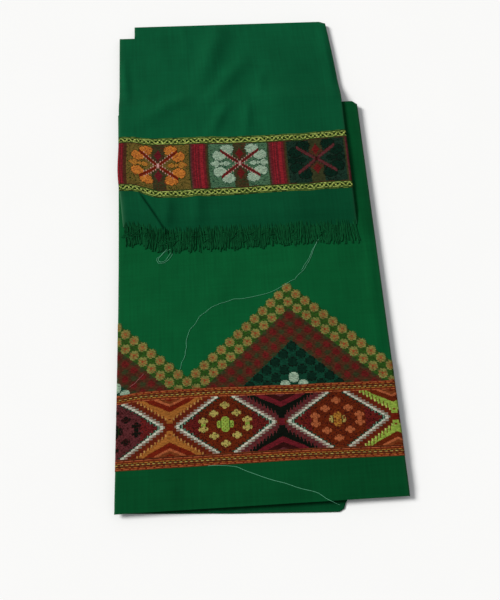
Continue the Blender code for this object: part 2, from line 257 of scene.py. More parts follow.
# Of the three blocks: petals, their shading, buds, stems, dots, diamonds, ground, its edge
BLOCK_YARNS = (
    ("tangerine", "ember", "amber", "blood", "pink", "rose", "tan", "moss"),
    ("mint", "mist", "mint", "crimson", "pink", "crimson", "sea", "notch"),
    ("forest", "black", "forest", "plum", "maroon", "crimson", "pine", "black"),
)

# Heights of stitches over the cloth's face. How high a float stands is counted in FLOAT_RISE,
# and BARE stands for the bare cloth beside a pad's edge
PAD_RISE = 0.3 * MM
PAD_DEPTH = 0.75 * MM
FLOAT_RISE = 0.3 * MM
BARE = ("bare", -0.6)

# The rounded fold edge of one hidden layer: how far up it and how far out, in its thicknesses
LAYER_EDGE = ((0.0, -0.75), (0.12, -0.3), (0.35, -0.04), (0.65, -0.04), (0.88, -0.3))
LEVELS_IN_LAYER = len(LAYER_EDGE)
# The same for the length on the table, in its own thickness
SLAB_EDGE = ((0.0, -0.9), (0.08, -0.35), (0.3, -0.05), (0.5, 0.0))
SLAB_EDGE += ((0.7, -0.05), (0.92, -0.35), (1.0, -0.9))
# The weave's millimetres from point to point along such an edge, and from level to level
EDGE_STEP = 3.5
LEVEL_STEP = 0.5

# Where points stand close together in from a rolled edge, in radii of the roll
ROLLED = (0.0, 0.06, 0.2, 0.42, 0.7, 1.0, 1.6)
ROLLED_AT_NOTCH = (2.0, 1.5, 1.0, 0.7, 0.42, 0.2, 0.06, 0.0)

# How many degrees the cloth turns round its top folds, and the rows of points that it has there
HEM_FOLD_TURN = 140
END_FOLD_TURN = 125
ROWS_ROUND_FOLD = 8

# The stage, and the camera's place and axes
FLOOR_SIZE = 6
SKY_COLOUR = (0.97, 0.985, 1.0, 1.0)
LAMP_PLACE = (-1.2, 0.42, 1.12)
LAMP_COLOUR = (1.0, 0.99, 0.965)
CAMERA_PLACE = Vector((0.001104, -0.475569, 0.864709))
CAMERA_RIGHT = Vector((0.99803, -0.05715, -0.02583))
CAMERA_UP = Vector((0.06272, 0.90842, 0.41332))
SENSOR = 36

# The fringe: the start of its random numbers, how many yarns lie across the others, and how
# many points each kind of yarn has
FRINGE_SEED = 23
CROSS_YARNS = 60
YARN_POINTS = 8
CROSS_YARN_POINTS = 6

# Stray threads: the points that each follows over the cloth, in millimetres
THREAD_RADIUS = 0.21 * MM
LONG_THREAD = [
    (62, -54), (67, -46), (77, -29), (85, -14), (72, -41), (65, -53), (55, -63), (50, -67),
    (27, -78), (12, -82), (-9, -84), (-20, -85), (-33, -89), (-44, -94), (-54, -102),
    (-63, -113), (-70, -124), (-72, -137), (-73, -145), (-77, -156), (-80, -165),
]
SHORT_THREAD = [(-119, -167), (-126, -174), (-134, -181)]
HEM_THREAD = [
    (-53, -272), (-29, -273), (-17, -278), (9, -289), (30, -297), (54, -305), (69, -314),
    (80, -319),
]
LOOPED_THREAD = [
    (-91, -14), (-97, -21), (-103, -27), (-102, -32), (-97, -33), (-90, -29), (-86, -24),
    (-87, -17), (-92, -17), (-100, -25), (-101, -30), (-96, -31), (-88, -22), (-86, -12),
]


# Settings


def plain_colour(red, green, blue):
    """A colour read off a swatch, 0 to 255, as scene-linear numbers."""
    swatch = Color((red / 255, green / 255, blue / 255))
    return tuple(swatch.from_srgb_to_scene_linear())


def setting(kind, name, description, default, low, high, **more):
    """A number setting with its default, least and greatest value."""
    return kind(name=name, description=description, default=default, min=low, max=high, **more)


def length_setting(name, description, *lengths):
    """A length setting. Its default, least and greatest length are given in millimetres."""
    metres = (length * MM for length in lengths)
    return setting(FloatProperty, name, description, *metres, unit="LENGTH")


def yarn_colour(name, red, green, blue):
    """A colour setting for one dyed yarn."""
    return FloatVectorProperty(
        name=name,
        description=f"Colour of the {name.lower()}",
        default=plain_colour(red, green, blue),
        subtype="COLOR",
        size=3,
        min=0,
        max=1,
    )


class MekhelaClothSettings(bpy.types.PropertyGroup):
    """The plain-woven cloth."""

    thickness: length_setting("Cloth thickness", "Thickness of one layer", 0.8, 0.3, 1.2)
    mesh_step: length_setting("Mesh step", "Spacing of the cloth's points", 2.8, 1.5, 10)
    thread_pitch: length_setting("Thread pitch", "Spacing of the weave's threads", 0.55, 0.2, 2)
    waviness: length_setting("Waviness", "Height of the waves left by handling", 0.35, 0, 2)
    green: yarn_colour("Green cotton", 8, 83, 43)
    end_green: yarn_colour("Green cotton of the turned-back end", 9, 80, 48)
    # The same cotton as the outer layers: its darker green is painted shade for the layers in the
    # folds
    shaded_green: yarn_colour("Green cotton in the folds", 5, 66, 35)
    fringe_green: yarn_colour("Green yarn of the fringe", 9, 76, 40)
    pale_green: yarn_colour("Pale stray thread", 106, 184, 146)
    pale_pink: yarn_colour("Pinkish stray thread", 176, 110, 108)


class MekhelaBorderSettings(bpy.types.PropertyGroup):
    """The dyed yarns of the woven borders."""

    white: yarn_colour("White yarn", 190, 192, 174)
    pearl: yarn_colour("Pearl grey yarn", 126, 130, 112)
    notch: yarn_colour("Grey-green yarn", 18, 58, 42)
    earth: yarn_colour("Red-brown yarn", 96, 34, 11)
    crimson: yarn_colour("Crimson yarn", 96, 26, 24)
    blood: yarn_colour("Dark red yarn", 106, 28, 11)
    maroon: yarn_colour("Maroon yarn", 50, 15, 13)
    plum: yarn_colour("Plum yarn", 88, 40, 42)
    black: yarn_colour("Black yarn", 10, 17, 10)
    rose: yarn_colour("Rose yarn", 98, 24, 32)
    salmon: yarn_colour("Salmon yarn", 164, 88, 52)
    orange: yarn_colour("Orange yarn", 156, 96, 40)
    tangerine: yarn_colour("Tangerine yarn", 188, 114, 45)
    amber: yarn_colour("Amber yarn", 164, 112, 42)
    lime: yarn_colour("Lime yarn", 134, 160, 62)
    straw: yarn_colour("Straw yarn", 166, 152, 80)
    rust: yarn_colour("Rust yarn", 112, 54, 24)
    wheat: yarn_colour("Wheat yarn", 121, 123, 64)
    gold: yarn_colour("Old gold yarn", 112, 108, 54)
    ring: yarn_colour("Rosette ring yarn", 137, 93, 48)
    ember: yarn_colour("Rosette heart yarn", 136, 64, 34)
    brick: yarn_colour("Brick ground yarn", 74, 42, 26)
    olive: yarn_colour("Olive yarn", 52, 55, 31)
    forest: yarn_colour("Near-black green yarn", 7, 38, 26)
    teal: yarn_colour("Teal yarn", 12, 60, 42)
    mint: yarn_colour("Mint yarn", 152, 174, 150)
    mist: yarn_colour("Pale grey-green yarn", 116, 146, 124)
    pine: yarn_colour("Pine green yarn", 24, 49, 37)
    sea: yarn_colour("Sea green yarn", 71, 105, 77)
    tan: yarn_colour("Tan ground yarn", 104, 86, 38)
    scarlet: yarn_colour("Scarlet yarn", 138, 32, 40)
    wine: yarn_colour("Wine yarn", 102, 28, 34)
    pink: yarn_colour("Pink yarn", 196, 146, 140)
    moss: yarn_colour("Moss yarn", 26, 46, 10)
    fern: yarn_colour("Fern yarn", 44, 64, 26)
    sage: yarn_colour("Sage yarn", 92, 114, 46)
    leaf: yarn_colour("Leaf green yarn", 42, 82, 24)
    peach: yarn_colour("Peach yarn", 172, 128, 70)
    blush: yarn_colour("Pale blush yarn", 156, 122, 114)
    chartreuse: yarn_colour("Yellow-green yarn", 172, 186, 96)


class MekhelaFringeSettings(bpy.types.PropertyGroup):
    """The fringe."""

    tufts: setting(IntProperty, "Tufts", "Number of tufts along the foot", 108, 20, 200)
    yarns: setting(IntProperty, "Yarns in a tuft", "Number of yarns in each tuft", 5, 1, 8)
    length: length_setting("Length", "Length of the longest yarns", 29, 5, 60)
    yarn_radius: length_setting("Yarn radius", "Radius of one yarn", 0.45, 0.1, 1)


class MekhelaStageSettings(bpy.types.PropertyGroup):
    """Floor, light and camera."""

    floor: yarn_colour("Floor", 252, 252, 252)
    sky_strength: setting(FloatProperty, "Sky strength", "Strength of the sky", 0.34, 0, 4)
    lamp_strength: setting(FloatProperty, "Lamp strength", "Strength of the lamp", 3.12, 0, 20)
    lamp_spread: setting(FloatProperty, "Lamp spread", "Width of the lamp in degrees", 24, 0, 120)
    lens: setting(FloatProperty, "Lens", "Focal length in millimetres", 50, 10, 200)


# Curves and forms, as the solids have them


def smooth(t):
    """A soft step from 0 at t = 0 to 1 at t = 1."""
    t = min(max(t, 0.0), 1.0)
    return t * t * (3 - 2 * t)


def eased(distance, span):
    """A soft step that starts where a distance is 0 and is 1 after a span in millimetres."""
    return smooth(distance / (span * MM))


def bell(distance, width):
    """A smooth hump: 1 in its middle, and soon gone past its width."""
    return math.exp(-((distance / width) ** 2))


def between(points, place):
    """The value at a place between the (place, value) pairs that are given in order."""
    if place <= points[0][0]:
        return points[0][1]
    for (low, first), (high, second) in zip(points, points[1:]):
        if place <= high:
            return first + (second - first) * smooth((place - low) / (high - low))
    return points[-1][1]


def roll(distance, radius):
    """How far a surface has dropped, at a distance in from an edge rolled to that radius."""
    inside = min(max(distance, 0.0), radius)
    return radius - math.sqrt(radius**2 - (radius - inside) ** 2)


def crease_height(creases, x, y):
    """The height that the creases add at a place. Each is lower at both its ends."""
    total = 0.0
    here = Vector((x, y)) / MM
    for x0, y0, x1, y1, width, height in creases:
        start, run = Vector((x0, y0)), Vector((x1 - x0, y1 - y0))
        along = min(max((here - start).dot(run) / run.length_squared, 0.0), 1.0)
        away = (here - start - run * along).length
        if away < 3 * width:
            fade = 0.55 + 0.45 * math.sin(math.pi * along)
            total += height * MM * fade * bell(away, width)
    return total


def waves(x, y, layer):
    """Faint waves in handled cloth, from -1 to 1."""
    broad = noise.noise(Vector((x / 0.052, y / 0.085, layer)))
    fine = noise.noise(Vector((x / 0.019, y / 0.030, layer + 5)))
    return 0.75 * broad + 0.25 * fine


def in_plan(x, y):
    return Vector((x, y, 0))


def spaced(low, high, step):
    """Evenly spaced places from low up to and with high."""
    count = max(1, round((high - low) / step))
    return [low + (high - low) * k / count for k in range(count + 1)]


def edge_spaced(low, high, step, roll_radius):
    """Places from low to high, close together where both edges roll down."""
    start = [low + roll_radius * share for share in ROLLED]
    end = [high - roll_radius * share for share in reversed(ROLLED)]
    return start[:-1] + spaced(start[-1], end[0], step) + end[1:]


def round_rows(fold, radius, degrees):
    """Rows that carry a cloth on round its top fold."""
    arc = radius * math.radians(degrees)
    count = ROWS_ROUND_FOLD
    return [fold - radius + arc * k / count for k in range(1, count + 1)]


def round_top(row, fold, radius):
    """Where a row comes to lie at a top fold of that radius, and how far it drops there."""
    angle = max(0.0, row - (fold - radius)) / radius
    if angle:
        row = fold - radius + radius * math.sin(angle)
    return row, radius * (1 - math.cos(angle))


def bowed(x, y):
    """Where a place on the lower part lies across, with its left edge bowed in."""
    along = min(max((y - HEM_Y) / (FOLD_Y - HEM_Y), 0.0), 1.0)
    bow = LEFT_BOW * (0.3 + 0.7 * math.sin(math.pi * along))
    return x + bow * (HALF_WIDTH - x) / (2 * HALF_WIDTH)


def hem_place(x, y):
    """The hem end's outer face. Past the top fold, the cloth goes on round the fold."""
    side = min(x + HALF_WIDTH, HALF_WIDTH - x)
    y, over_fold = round_top(y, FOLD_Y, FOLD_ROLL)
    drop = max(roll(side, SIDE_ROLL), over_fold) + HEM_DROP * (1 - eased(y - HEM_Y, 14))
    # Creases and waves only where the turned-back end doesn't press the cloth flat
    uncovered = 1.0 if x > END_RIGHT + 4 * MM else eased(END_ROOT_Y - 40 * MM - y, 20)
    inside = uncovered * eased(side, 6)
    lift = crease_height(HEM_CREASES, x, y) * inside
    soft = inside * eased(y - HEM_Y, 8) * eased(FOLD_Y - y, 10)
    lift += cloth_settings().waviness * waves(x, y, 1) * soft
    # The top right corner is rounded
    y -= 5 * MM * eased(x - HALF_WIDTH + 7 * MM, 7) * eased(y - FOLD_Y + 30 * MM, 30)
    return Vector((bowed(x, y), y, HEM_TOP - drop + lift))


def end_plan(column, row):
    """Where a place on the turned-back end lies in plan."""
    # Foot and head slope, and the foot's left corner lies further up
    slope_end = END_ROOT_Y + 40 * MM
    foot = 1 - smooth((row - slope_end) / (FOLD_Y - slope_end))
    head = smooth((row - FOLD_Y) / (END_TOP_Y - FOLD_Y))
    lifted = END_LIFTED * (1 - eased(column - LIFTED_X, 36))
    y = row + foot * (END_ROOT_SLOPE * column + lifted) + head * END_TOP_SLOPE * column
    # The border's own pull
    low_side, high_side = END_ROOT_Y + END_BAND[0], END_ROOT_Y + END_BAND[1]
    up_band = smooth((row - low_side) / (high_side - low_side))
    upper = between(UPPER_PULL, column / MM) * (1 - eased(row - high_side, 50))
    lower = between(LOWER_PULL, column / MM) * smooth((row - END_ROOT_Y) / END_BAND[0])
    y += (up_band * upper + (1 - up_band) * lower) * MM
    # The top right corner is rounded, and the sides draw in towards the foot and the head
    y -= 3 * MM * eased(column - END_RIGHT + 9 * MM, 9) * head**6
    left = END_LEFT + DRAWN_IN * math.exp(-max(y, 0.0) / FOOT_REACH)
    left -= BORDER_BULGE * bell(y - BULGE_Y, BULGE_REACH)
    right = END_RIGHT - DRAWN_IN * max(0.0, (y - FOLD_Y) / HEAD_REACH) ** 1.5
    across = (column - END_LEFT) / (END_RIGHT - END_LEFT)
    return in_plan(left + (right - left) * across, y)


def step_lift(y):
    """The end climbs from the table on to the lower part, over that part's top fold."""
    return STEP_RISE * (1 - smooth((y - FOLD_Y - 2 * MM) / STEP_LENGTH))


def flap_height(x, y):
    """The flap at the left of the foot: it lifts towards its edge and drops sharply there."""
    here = Vector((x, y)) / MM
    run = FLAP_FOOT - FLAP_TOP
    along = (here - FLAP_TOP).dot(run) / run.length_squared
    to_left = (here - FLAP_TOP).cross(run) / run.length
    ends = smooth((along + 0.1) / 0.3) * smooth((1.3 - along) / 0.3)
    if to_left > 0:
        return FLAP_RISE * math.exp(-to_left / FLAP_FADE) * ends
    valley = FLAP_VALLEY * bell(to_left + FLAP_VALLEY_AWAY, FLAP_VALLEY_WIDTH)
    return (FLAP_RISE * bell(to_left, FLAP_EDGE) - valley) * ends


def end_left(row):
    """The left side of the turned-back end at a row: above the notch, it is further in."""
    return END_LEFT if row < NOTCH_Y + 0.01 * MM else NOTCH_X


def end_place(column, row):
    """The turned-back end's outer face. Past the top fold, the cloth goes on round it."""
    left = end_left(row)
    by_notch = column < NOTCH_X + 0.01 * MM and left == END_LEFT
    top = NOTCH_Y if by_notch else END_TOP_Y
    side = min(column - left, END_RIGHT - column)
    up = row - END_ROOT_Y
    row, over_top = round_top(row, END_TOP_Y, END_FOLD_ROLL)
    if by_notch:
        over_top = max(over_top, roll(top - row, END_FOLD_ROLL))
    # At the foot, the cloth comes down past the layers inside and sinks a little
    over_folds = smooth((up - 1 * MM) / (END_FOLDS_LOW - 4 * MM))
    drop = max(roll(side, END_ROLL), over_top) * over_folds
    drop += (END_FOLDS + GAP) * (1 - over_folds) + FOOT_SINK * (1 - eased(up, 9))
    point = end_plan(column, row)
    soft = eased(side, 7) * eased(up, 16) * eased(top - row, 9)
    point.z = END_TOP + step_lift(point.y) - drop
    point.z += crease_height(END_CREASES, point.x, point.y) * soft
    point.z += flap_height(point.x, point.y) * eased(side, 5)
    point.z += cloth_settings().waviness * waves(point.x, point.y, 9) * soft
    return point


def beside_notch(column, row):
    """False in the corner that is tucked away at the top left."""
    return not (column < NOTCH_X and row > NOTCH_Y)


def cloth_settings():
    return bpy.context.scene.mekhela_cloth


# Meshes


def deselect_all():
    bpy.ops.object.select_all(action="DESELECT")


def select_only(obj):
    """Selects one object alone and makes it the active one."""
    deselect_all()
    obj.select_set(True)
    bpy.context.view_layer.objects.active = obj


@contextmanager
def edit_mode(obj):
    """Edit mode on one object, with its whole mesh selected."""
    select_only(obj)
    bpy.ops.object.mode_set(mode="EDIT")
    bpy.ops.mesh.select_all(action="SELECT")
    yield
    bpy.ops.object.mode_set(mode="OBJECT")


def apply_solidify(obj, thickness):
    """Gives a face sheet its thickness, inwards from its outer face."""
    wall = obj.modifiers.new("thickness", "SOLIDIFY")
    wall.thickness = thickness
    wall.offset = -1
    wall.use_even_offset = False
    select_only(obj)
    bpy.ops.object.modifier_apply(modifier=wall.name)


def finish_piece(obj, material, sharp_degrees=50):
    """Shades a finished piece, gives it its material and lets it ride with the bundle."""
    obj.data.materials.clear()
    obj.data.materials.append(material)
    select_only(obj)
    bpy.ops.object.shade_smooth_by_angle(angle=math.radians(sharp_degrees))
    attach(obj, "root")


def grid(name, across, up):
    """A flat grid of across by up cells, with its points listed row by row."""
    deselect_all()
    bpy.ops.mesh.primitive_grid_add(x_subdivisions=across, y_subdivisions=up, size=1)
    obj = bpy.context.object
    obj.name = name
    obj.data.name = name
    return obj


def grid_index(point, across, up):
    """Which column and row of a flat grid of size 1 a place lies on."""
    return (point.x + 0.5) * across, (point.y + 0.5) * up


def grid_cell(face, across, up):
    """The column and row of a flat grid's face."""
    column, row = grid_index(face.center, across, up)
    return int(column), int(row)


def grid_corner(vertex, across, up):
    """The column and row that a flat grid's point lies on, as whole numbers."""
    column, row = grid_index(vertex.co, across, up)
    return round(column), round(row)


def delete_faces(obj, unwanted):
    """Deletes the faces whose numbers are in a set."""
    with edit_mode(obj):
        bpy.ops.mesh.select_mode(type="FACE")
        bpy.ops.mesh.select_all(action="DESELECT")
    flags = [number in unwanted for number in range(len(obj.data.polygons))]
    obj.data.polygons.foreach_set("select", flags)
    bpy.ops.object.mode_set(mode="EDIT")
    bpy.ops.mesh.delete(type="FACE")
    bpy.ops.object.mode_set(mode="OBJECT")


def outward(place, column, row):
    """The direction that a placed surface faces."""
    step = 0.5 * MM
    across = place(column + step, row) - place(column - step, row)
    up = place(column, row + step) - place(column, row - step)
    return across.cross(up).normalized()


def cloth_shell(name, columns, rows, place, tone, keep=None):
    """A thin shell of cloth whose outer face lies at place(column, row). tone(column, row) is
    how pale its colour is there, partly wear and partly painted highlight, and how much painted
    shade darkens it, and keep(column, row) is false where it is cut away."""
    across, up = len(columns) - 1, len(rows) - 1
    obj = grid(name, across, up)
    mesh = obj.data
    if keep:
        gone = set()
        for face in mesh.polygons:
            k, m = grid_cell(face, across, up)
            middle = (columns[k] + columns[k + 1]) / 2, (rows[m] + rows[m + 1]) / 2
            if not keep(*middle):
                gone.add(face.index)
        delete_faces(obj, gone)
    weave = mesh.uv_layers.new(name="weave")
    corners = (grid_corner(vertex, across, up) for vertex in mesh.vertices)
    places = [(columns[k], rows[m]) for k, m in corners]
    for loop, uv in zip(mesh.loops, weave.uv):
        uv.vector = Vector(places[loop.vertex_index]) / MM
    # The first attribute pales the cloth, partly wear and partly painted highlight; the second
    # darkens it with painted shade
    pale = mesh.attributes.new("pale", "FLOAT", "POINT")
    deep = mesh.attributes.new("deep", "FLOAT", "POINT")
    for k, (column, row) in enumerate(places):
        mesh.vertices[k].co = place(column, row)
        pale.data[k].value, deep.data[k].value = tone(column, row)
    mesh.update()
    apply_solidify(obj, cloth_settings().thickness)
    return obj


def woven_pad(name, stitches, stitch_place, stitch):
    """A pad of extra weft. stitch(column, row) is the yarn and the height of a stitch's float,
    or None where the bare cloth shows, and stitch_place(column, row) is the pad's face."""
    across, up = stitches
    obj = grid(name, across, up)
    mesh = obj.data
    colours = bpy.context.scene.mekhela_border
    woven, bare = {}, set()
    for face in mesh.polygons:
        cell = grid_cell(face, across, up)
        woven[cell] = stitch(*cell)
        if woven[cell] is None:
            bare.add(face.index)
    if bare:
        delete_faces(obj, bare)
    weave = mesh.uv_layers.new(name="weave")
    dyed = mesh.color_attributes.new("yarn", "FLOAT_COLOR", "CORNER")
    for face in mesh.polygons:
        column, row = grid_cell(face, across, up)
        yarn, _ = woven[column, row]
        colour = scaled_colour(getattr(colours, yarn), 0.66 + 0.68 * scatter(column // 2, row))
        for corner in face.loop_indices:
            dyed.data[corner].color = colour
            point = mesh.vertices[mesh.loops[corner].vertex_index].co
            weave.uv[corner].vector = grid_index(point, across, up)
    around = ((0, 0), (-1, 0), (0, -1), (-1, -1))
    for vertex in mesh.vertices:
        column, row = grid_corner(vertex, across, up)
        touching = [woven.get((column + k, row + m)) or BARE for k, m in around]
        rise = sum(height for _, height in touching) / 4
        vertex.co = stitch_place(column, row, PAD_RISE + FLOAT_RISE * rise)
    mesh.update()
    apply_solidify(obj, PAD_DEPTH)
    return obj


def raised(place, column, row, height):
    """A place at a height over a surface's outer face."""
    return place(column, row) + outward(place, column, row) * height


# Stitches


def scatter(column, row):
    """A number from 0 to 1 that looks random from stitch to stitch."""
    return math.sin(column * 12.9898 + row * 78.233) * 43758.5453 % 1.0


def in_chart(chart, across, up):
    """The mark of a charted figure at a number of stitches from its middle."""
    half_width, half_height = len(chart[0]) // 2, len(chart) // 2
    column, row = across + half_width, half_height - up
    if 0 <= row < len(chart) and 0 <= column < len(chart[0]):
        return chart[row][column]
    return "."


def nearest(places, column):
    """The number of the place nearest to a column, and how far past it the column is."""
    number = min(range(len(places)), key=lambda k: abs(column - places[k]))
    return number, column - places[number]


def hem_edge(column, row):
    """The stripes along both sides of the wide border: dashed lines between plain ones."""
    yarns = (
        ("rust", 0.5),
        ("salmon", 0.9) if column % 9 < 7 else ("blood", 0.3),
        ("blood", 0.3),
        ("orange", 0.8) if column % 7 < 4 else ("rust", 0.4),
        ("maroon", 0.2),
        ("rust", 0.6),
        ("straw", 1.0) if column % 6 < 3 else ("rust", 0.5),
        ("maroon", 0.2),
        ("amber", 0.8) if (column + 3) % 6 < 4 else ("rust", 0.4),
        ("rust", 0.5),
        ("blood", 0.3),
        ("salmon", 0.9) if column % 11 < 9 else ("rust", 0.5),
        ("maroon", 0.2),
        ("rust", 0.5),
    )
    return yarns[row % len(yarns)]


def hem_stitch(column, row):
    """The wide border: diamonds outlined in white, with chevrons where two diamonds meet."""
    low_rows, high_rows = HEM_EDGE_ROWS
    if row < low_rows:
        return hem_edge(column, row)
    if row >= HEM_STITCHES[1] - high_rows:
        return hem_edge(column + 3, HEM_STITCHES[1] - 1 - row)
    number, side = nearest(HEM_CROSSINGS, column)
    across, up = abs(side), row - HEM_MIDDLE_ROW
    tooth = across - 4 * (abs(up) // 3)
    if tooth >= 4:
        return diamond_stitch(column, up, across, tooth)
    return chevron_stitch(number, across, abs(up), tooth)


def diamond_stitch(column, up, across, tooth):
    """Inside a diamond: its outline of white teeth along a strand, and the florets."""
    step = abs(up) % 3
    at_tip = abs(up) < 3
    if tooth < 8:
        if at_tip and tooth < 4 + 2 * step or step == 0 and tooth < 6:
            return "earth", 0.4
        return ("pearl" if scatter(column, up) > 0.4 else "blush"), 0.9
    if tooth < 12:
        if step == 0 and tooth > 9:
            return ("notch", 0.3) if tooth == 11 else ("mist", 0.7)
        return "white", 1.1
    if abs(up) < 12 and tooth < 15:
        return ("mist", 0.8) if column % 3 == 0 else ("notch", 0.1)
    if tooth < 14 and step < 2:
        return "notch", 0.1
    number, side = nearest(HEM_CENTRES, column)
    petals, speck, heart, flank, ground = DIAMOND_YARNS[number]
    if abs(abs(side) - 25) < 3 and abs(up) < 2:
        return (flank if number == 1 else petals), 0.9
    for x, y in ((0, 24), (13, 14), (25, 5), (25, -5), (13, -14), (0, -24)):
        mark = in_chart(FLORET, abs(side) - x, up - y)
        if mark in "#o":
            dull = scatter(column, up) < (0.3, 0.1, 0.1)[number]
            return (speck, 0.5) if dull else (petals, 1.0)
    mark = in_chart(TALL_FLOWER, side, up)
    if mark == "#":
        dull = number == 2 and scatter(column // 2, up // 2) < 0.3
        return (speck if dull else heart if abs(side) < 6 else flank), 1.1
    if mark == "=":
        return "moss", 0.4
    if across < 34 and scatter(column, up) > 0.3:
        return "crimson", 0.6
    return (ground, 0.3) if scatter(column, up) > 0.2 else ("maroon", 0.2)


def chevron_stitch(number, across, up, tooth):
    """Between two diamonds: nested chevrons over and under the place where they meet."""
    arm, tip, gap, inner, line, core, heart = CHEVRON_YARNS[number]
    slant = across - 4 * up / 3
    inwards = -18 - 7 * max(0.0, 1 - across / 24) - slant
    if across <= 3 and 5 <= up <= 15:
        return ("rust", 0.5) if number != 1 and across <= 1 and 9 <= up <= 10 else (arm, 1.1)
    if across + up < 7:
        return ("blood", "rose", "blood")[number], 0.5
    if tooth >= -6:
        return (gap, 0.4) if abs(tooth) % 5 else ("crimson", 0.5)
    if inwards <= 0:
        if across % 4 == 3 and tooth > (-12, -10, -17)[number]:
            return gap, 0.3
        return (tip, 1.1) if tooth > -9 and scatter(across, up) > 0.25 else (arm, 1.0)
    if inwards <= 9:
        return inner, 0.5
    if inwards <= 13:
        return line, 0.9
    return (core, 0.4) if inwards <= 18 else (heart, 0.3)


def to_ridge(across):
    """How far below the zigzag's line a lattice column starts."""
    full = 2 * ROSETTES_TO_VALLEY
    return abs((across + ROSETTES_TO_VALLEY) % full - ROSETTES_TO_VALLEY)


def zigzag_stitch(column, row):
    """The zigzag of rosettes, and the triangles under it: rosettes in rows that follow the
    zigzag, two gold, two crimson, two near-black and then mint."""
    across, down = column - PEAK_COLUMN, PEAK_ROW - row
    left_triangle = across < -ROSETTES_TO_VALLEY * ROSETTE_STEP
    i, j = round(across / ROSETTE_STEP), round(down / ROSETTE_STEP)
    for site in ((i, j), (i - 1, j), (i + 1, j), (i, j - 1), (i, j + 1)):
        if sum(site) % 2:
            continue
        depth = site[1] - to_ridge(site[0])
        if depth < 0:
            continue
        beside, over = across - site[0] * ROSETTE_STEP, down - site[1] * ROSETTE_STEP
        mark = in_chart(ROSETTE, beside, over)
        if mark != ".":
            return rosette_stitch(depth // 2, mark, beside, over, left_triangle)
    depth = down / ROSETTE_STEP - to_ridge(across / ROSETTE_STEP)
    from_gap = math.hypot(across - i * ROSETTE_STEP, down - j * ROSETTE_STEP)
    gap = (i + j) % 2 and from_gap < 4.4
    if depth < 2.9:
        if depth < -0.6:
            return None
        return ("leaf" if scatter(column, row) > 0.4 else "fern"), 0.3
    if depth < 7.2:
        green = gap and from_gap < 2.4 + 2 * scatter(column, row)
        return ("olive" if green else "brick"), 0.3
    return ("teal", 0.3) if gap else ("teal", 0.1)


def rosette_stitch(ring, mark, beside, over, left_triangle):
    """One stitch of a rosette. ring counts the rows of rosettes in from the zigzag's line."""
    knot = 1.0 if (beside + over) % 2 else 0.8
    speck = scatter(3 * beside + ring, over)
    if ring < 2:
        pairs = {"Y": ("fern", "wheat"), "G": ("ring", "wheat"), "O": ("gold", "ring")}
        pair = pairs.get(mark, ("ring", "ember"))
        return pair[speck > 0.36], knot
    if ring < 4:
        near = math.hypot(beside, over * 0.85) < 2.8 + 2 * speck
        return ("crimson", knot) if near else ("brick", 0.5)
    if ring < 6 and not left_triangle:
        rim = "teal" if speck > 0.65 else "black"
        return (rim if mark == "Y" else "forest"), knot * 0.8
    return ("mist" if speck > 0.75 else "mint"), knot


def end_edge(column, row):
    """The net along both sides of the narrow border: a strand that zigzags between two
    rails, with dark cells on either side of it."""
    if row == 0:
        return ("sage", 0.6) if scatter(column // 6, row) > 0.4 else ("fern", 0.3)
    if row == 10:
        return ("brick", 0.6) if scatter(column // 8, row) > 0.4 else ("fern", 0.3)
    if row in (1, 9):
        return "fern", 0.2
    swing = abs((column % 10) - 5) / 2.5 - 1
    at_node = abs(swing) > 0.55
    if row in (2, 8):
        node = swing > 0.5 if row == 2 else swing < -0.5
        return ("chartreuse", 1.2) if node or scatter(column // 3, row) > 0.7 else ("sage", 0.9)
    if abs(row - 5 - 2.3 * swing) < (1.1 if at_node else 1.5):
        return ("chartreuse", 1.2) if scatter(column, row) > 0.35 else ("sage", 0.9)
    return "moss", 0.1


def end_stitch(column, row):
    """The narrow border: three blocks with a four-petalled figure, and red columns between."""
    if row < END_EDGE_ROWS:
        return end_edge(column, row)
    if row >= END_STITCHES[1] - END_EDGE_ROWS:
        return end_edge(column + 2, END_STITCHES[1] - 1 - row)
    red_end, brick_end, right_start = END_SIDE_COLUMNS
    if column < red_end:
        return ("scarlet", 0.9) if column % 3 == 1 else ("wine", 0.7)
    if column < brick_end:
        return "brick", 0.3
    if column >= right_start:
        return ("plum" if column > right_start + 1 else "olive"), 0.4
    for middle in END_COLUMNS:
        if abs(column - middle) <= 12:
            return red_column_stitch(column - middle)
    number, across = nearest(END_BLOCKS, column)
    return figure_stitch(number, across, row - END_MIDDLE_ROW)


def red_column_stitch(across):
    """A red column between two blocks, in upright stripes."""
    if abs(across) > 10:
        return "olive", 0.3
    if abs(across) > 8:
        return ("plum", 0.5) if across < 0 else ("brick", 0.4)
    if across in (-5, -2) or 2 <= across <= 5:
        return "scarlet", 1.0
    return "wine", 0.8


def touches(chart, across, up):
    """Whether a stitch beside a charted figure touches one of its stitches."""
    sides = ((1, 0), (-1, 0), (0, 1), (0, -1))
    return any(in_chart(chart, across + dx, up + dy) == "#" for dx, dy in sides)


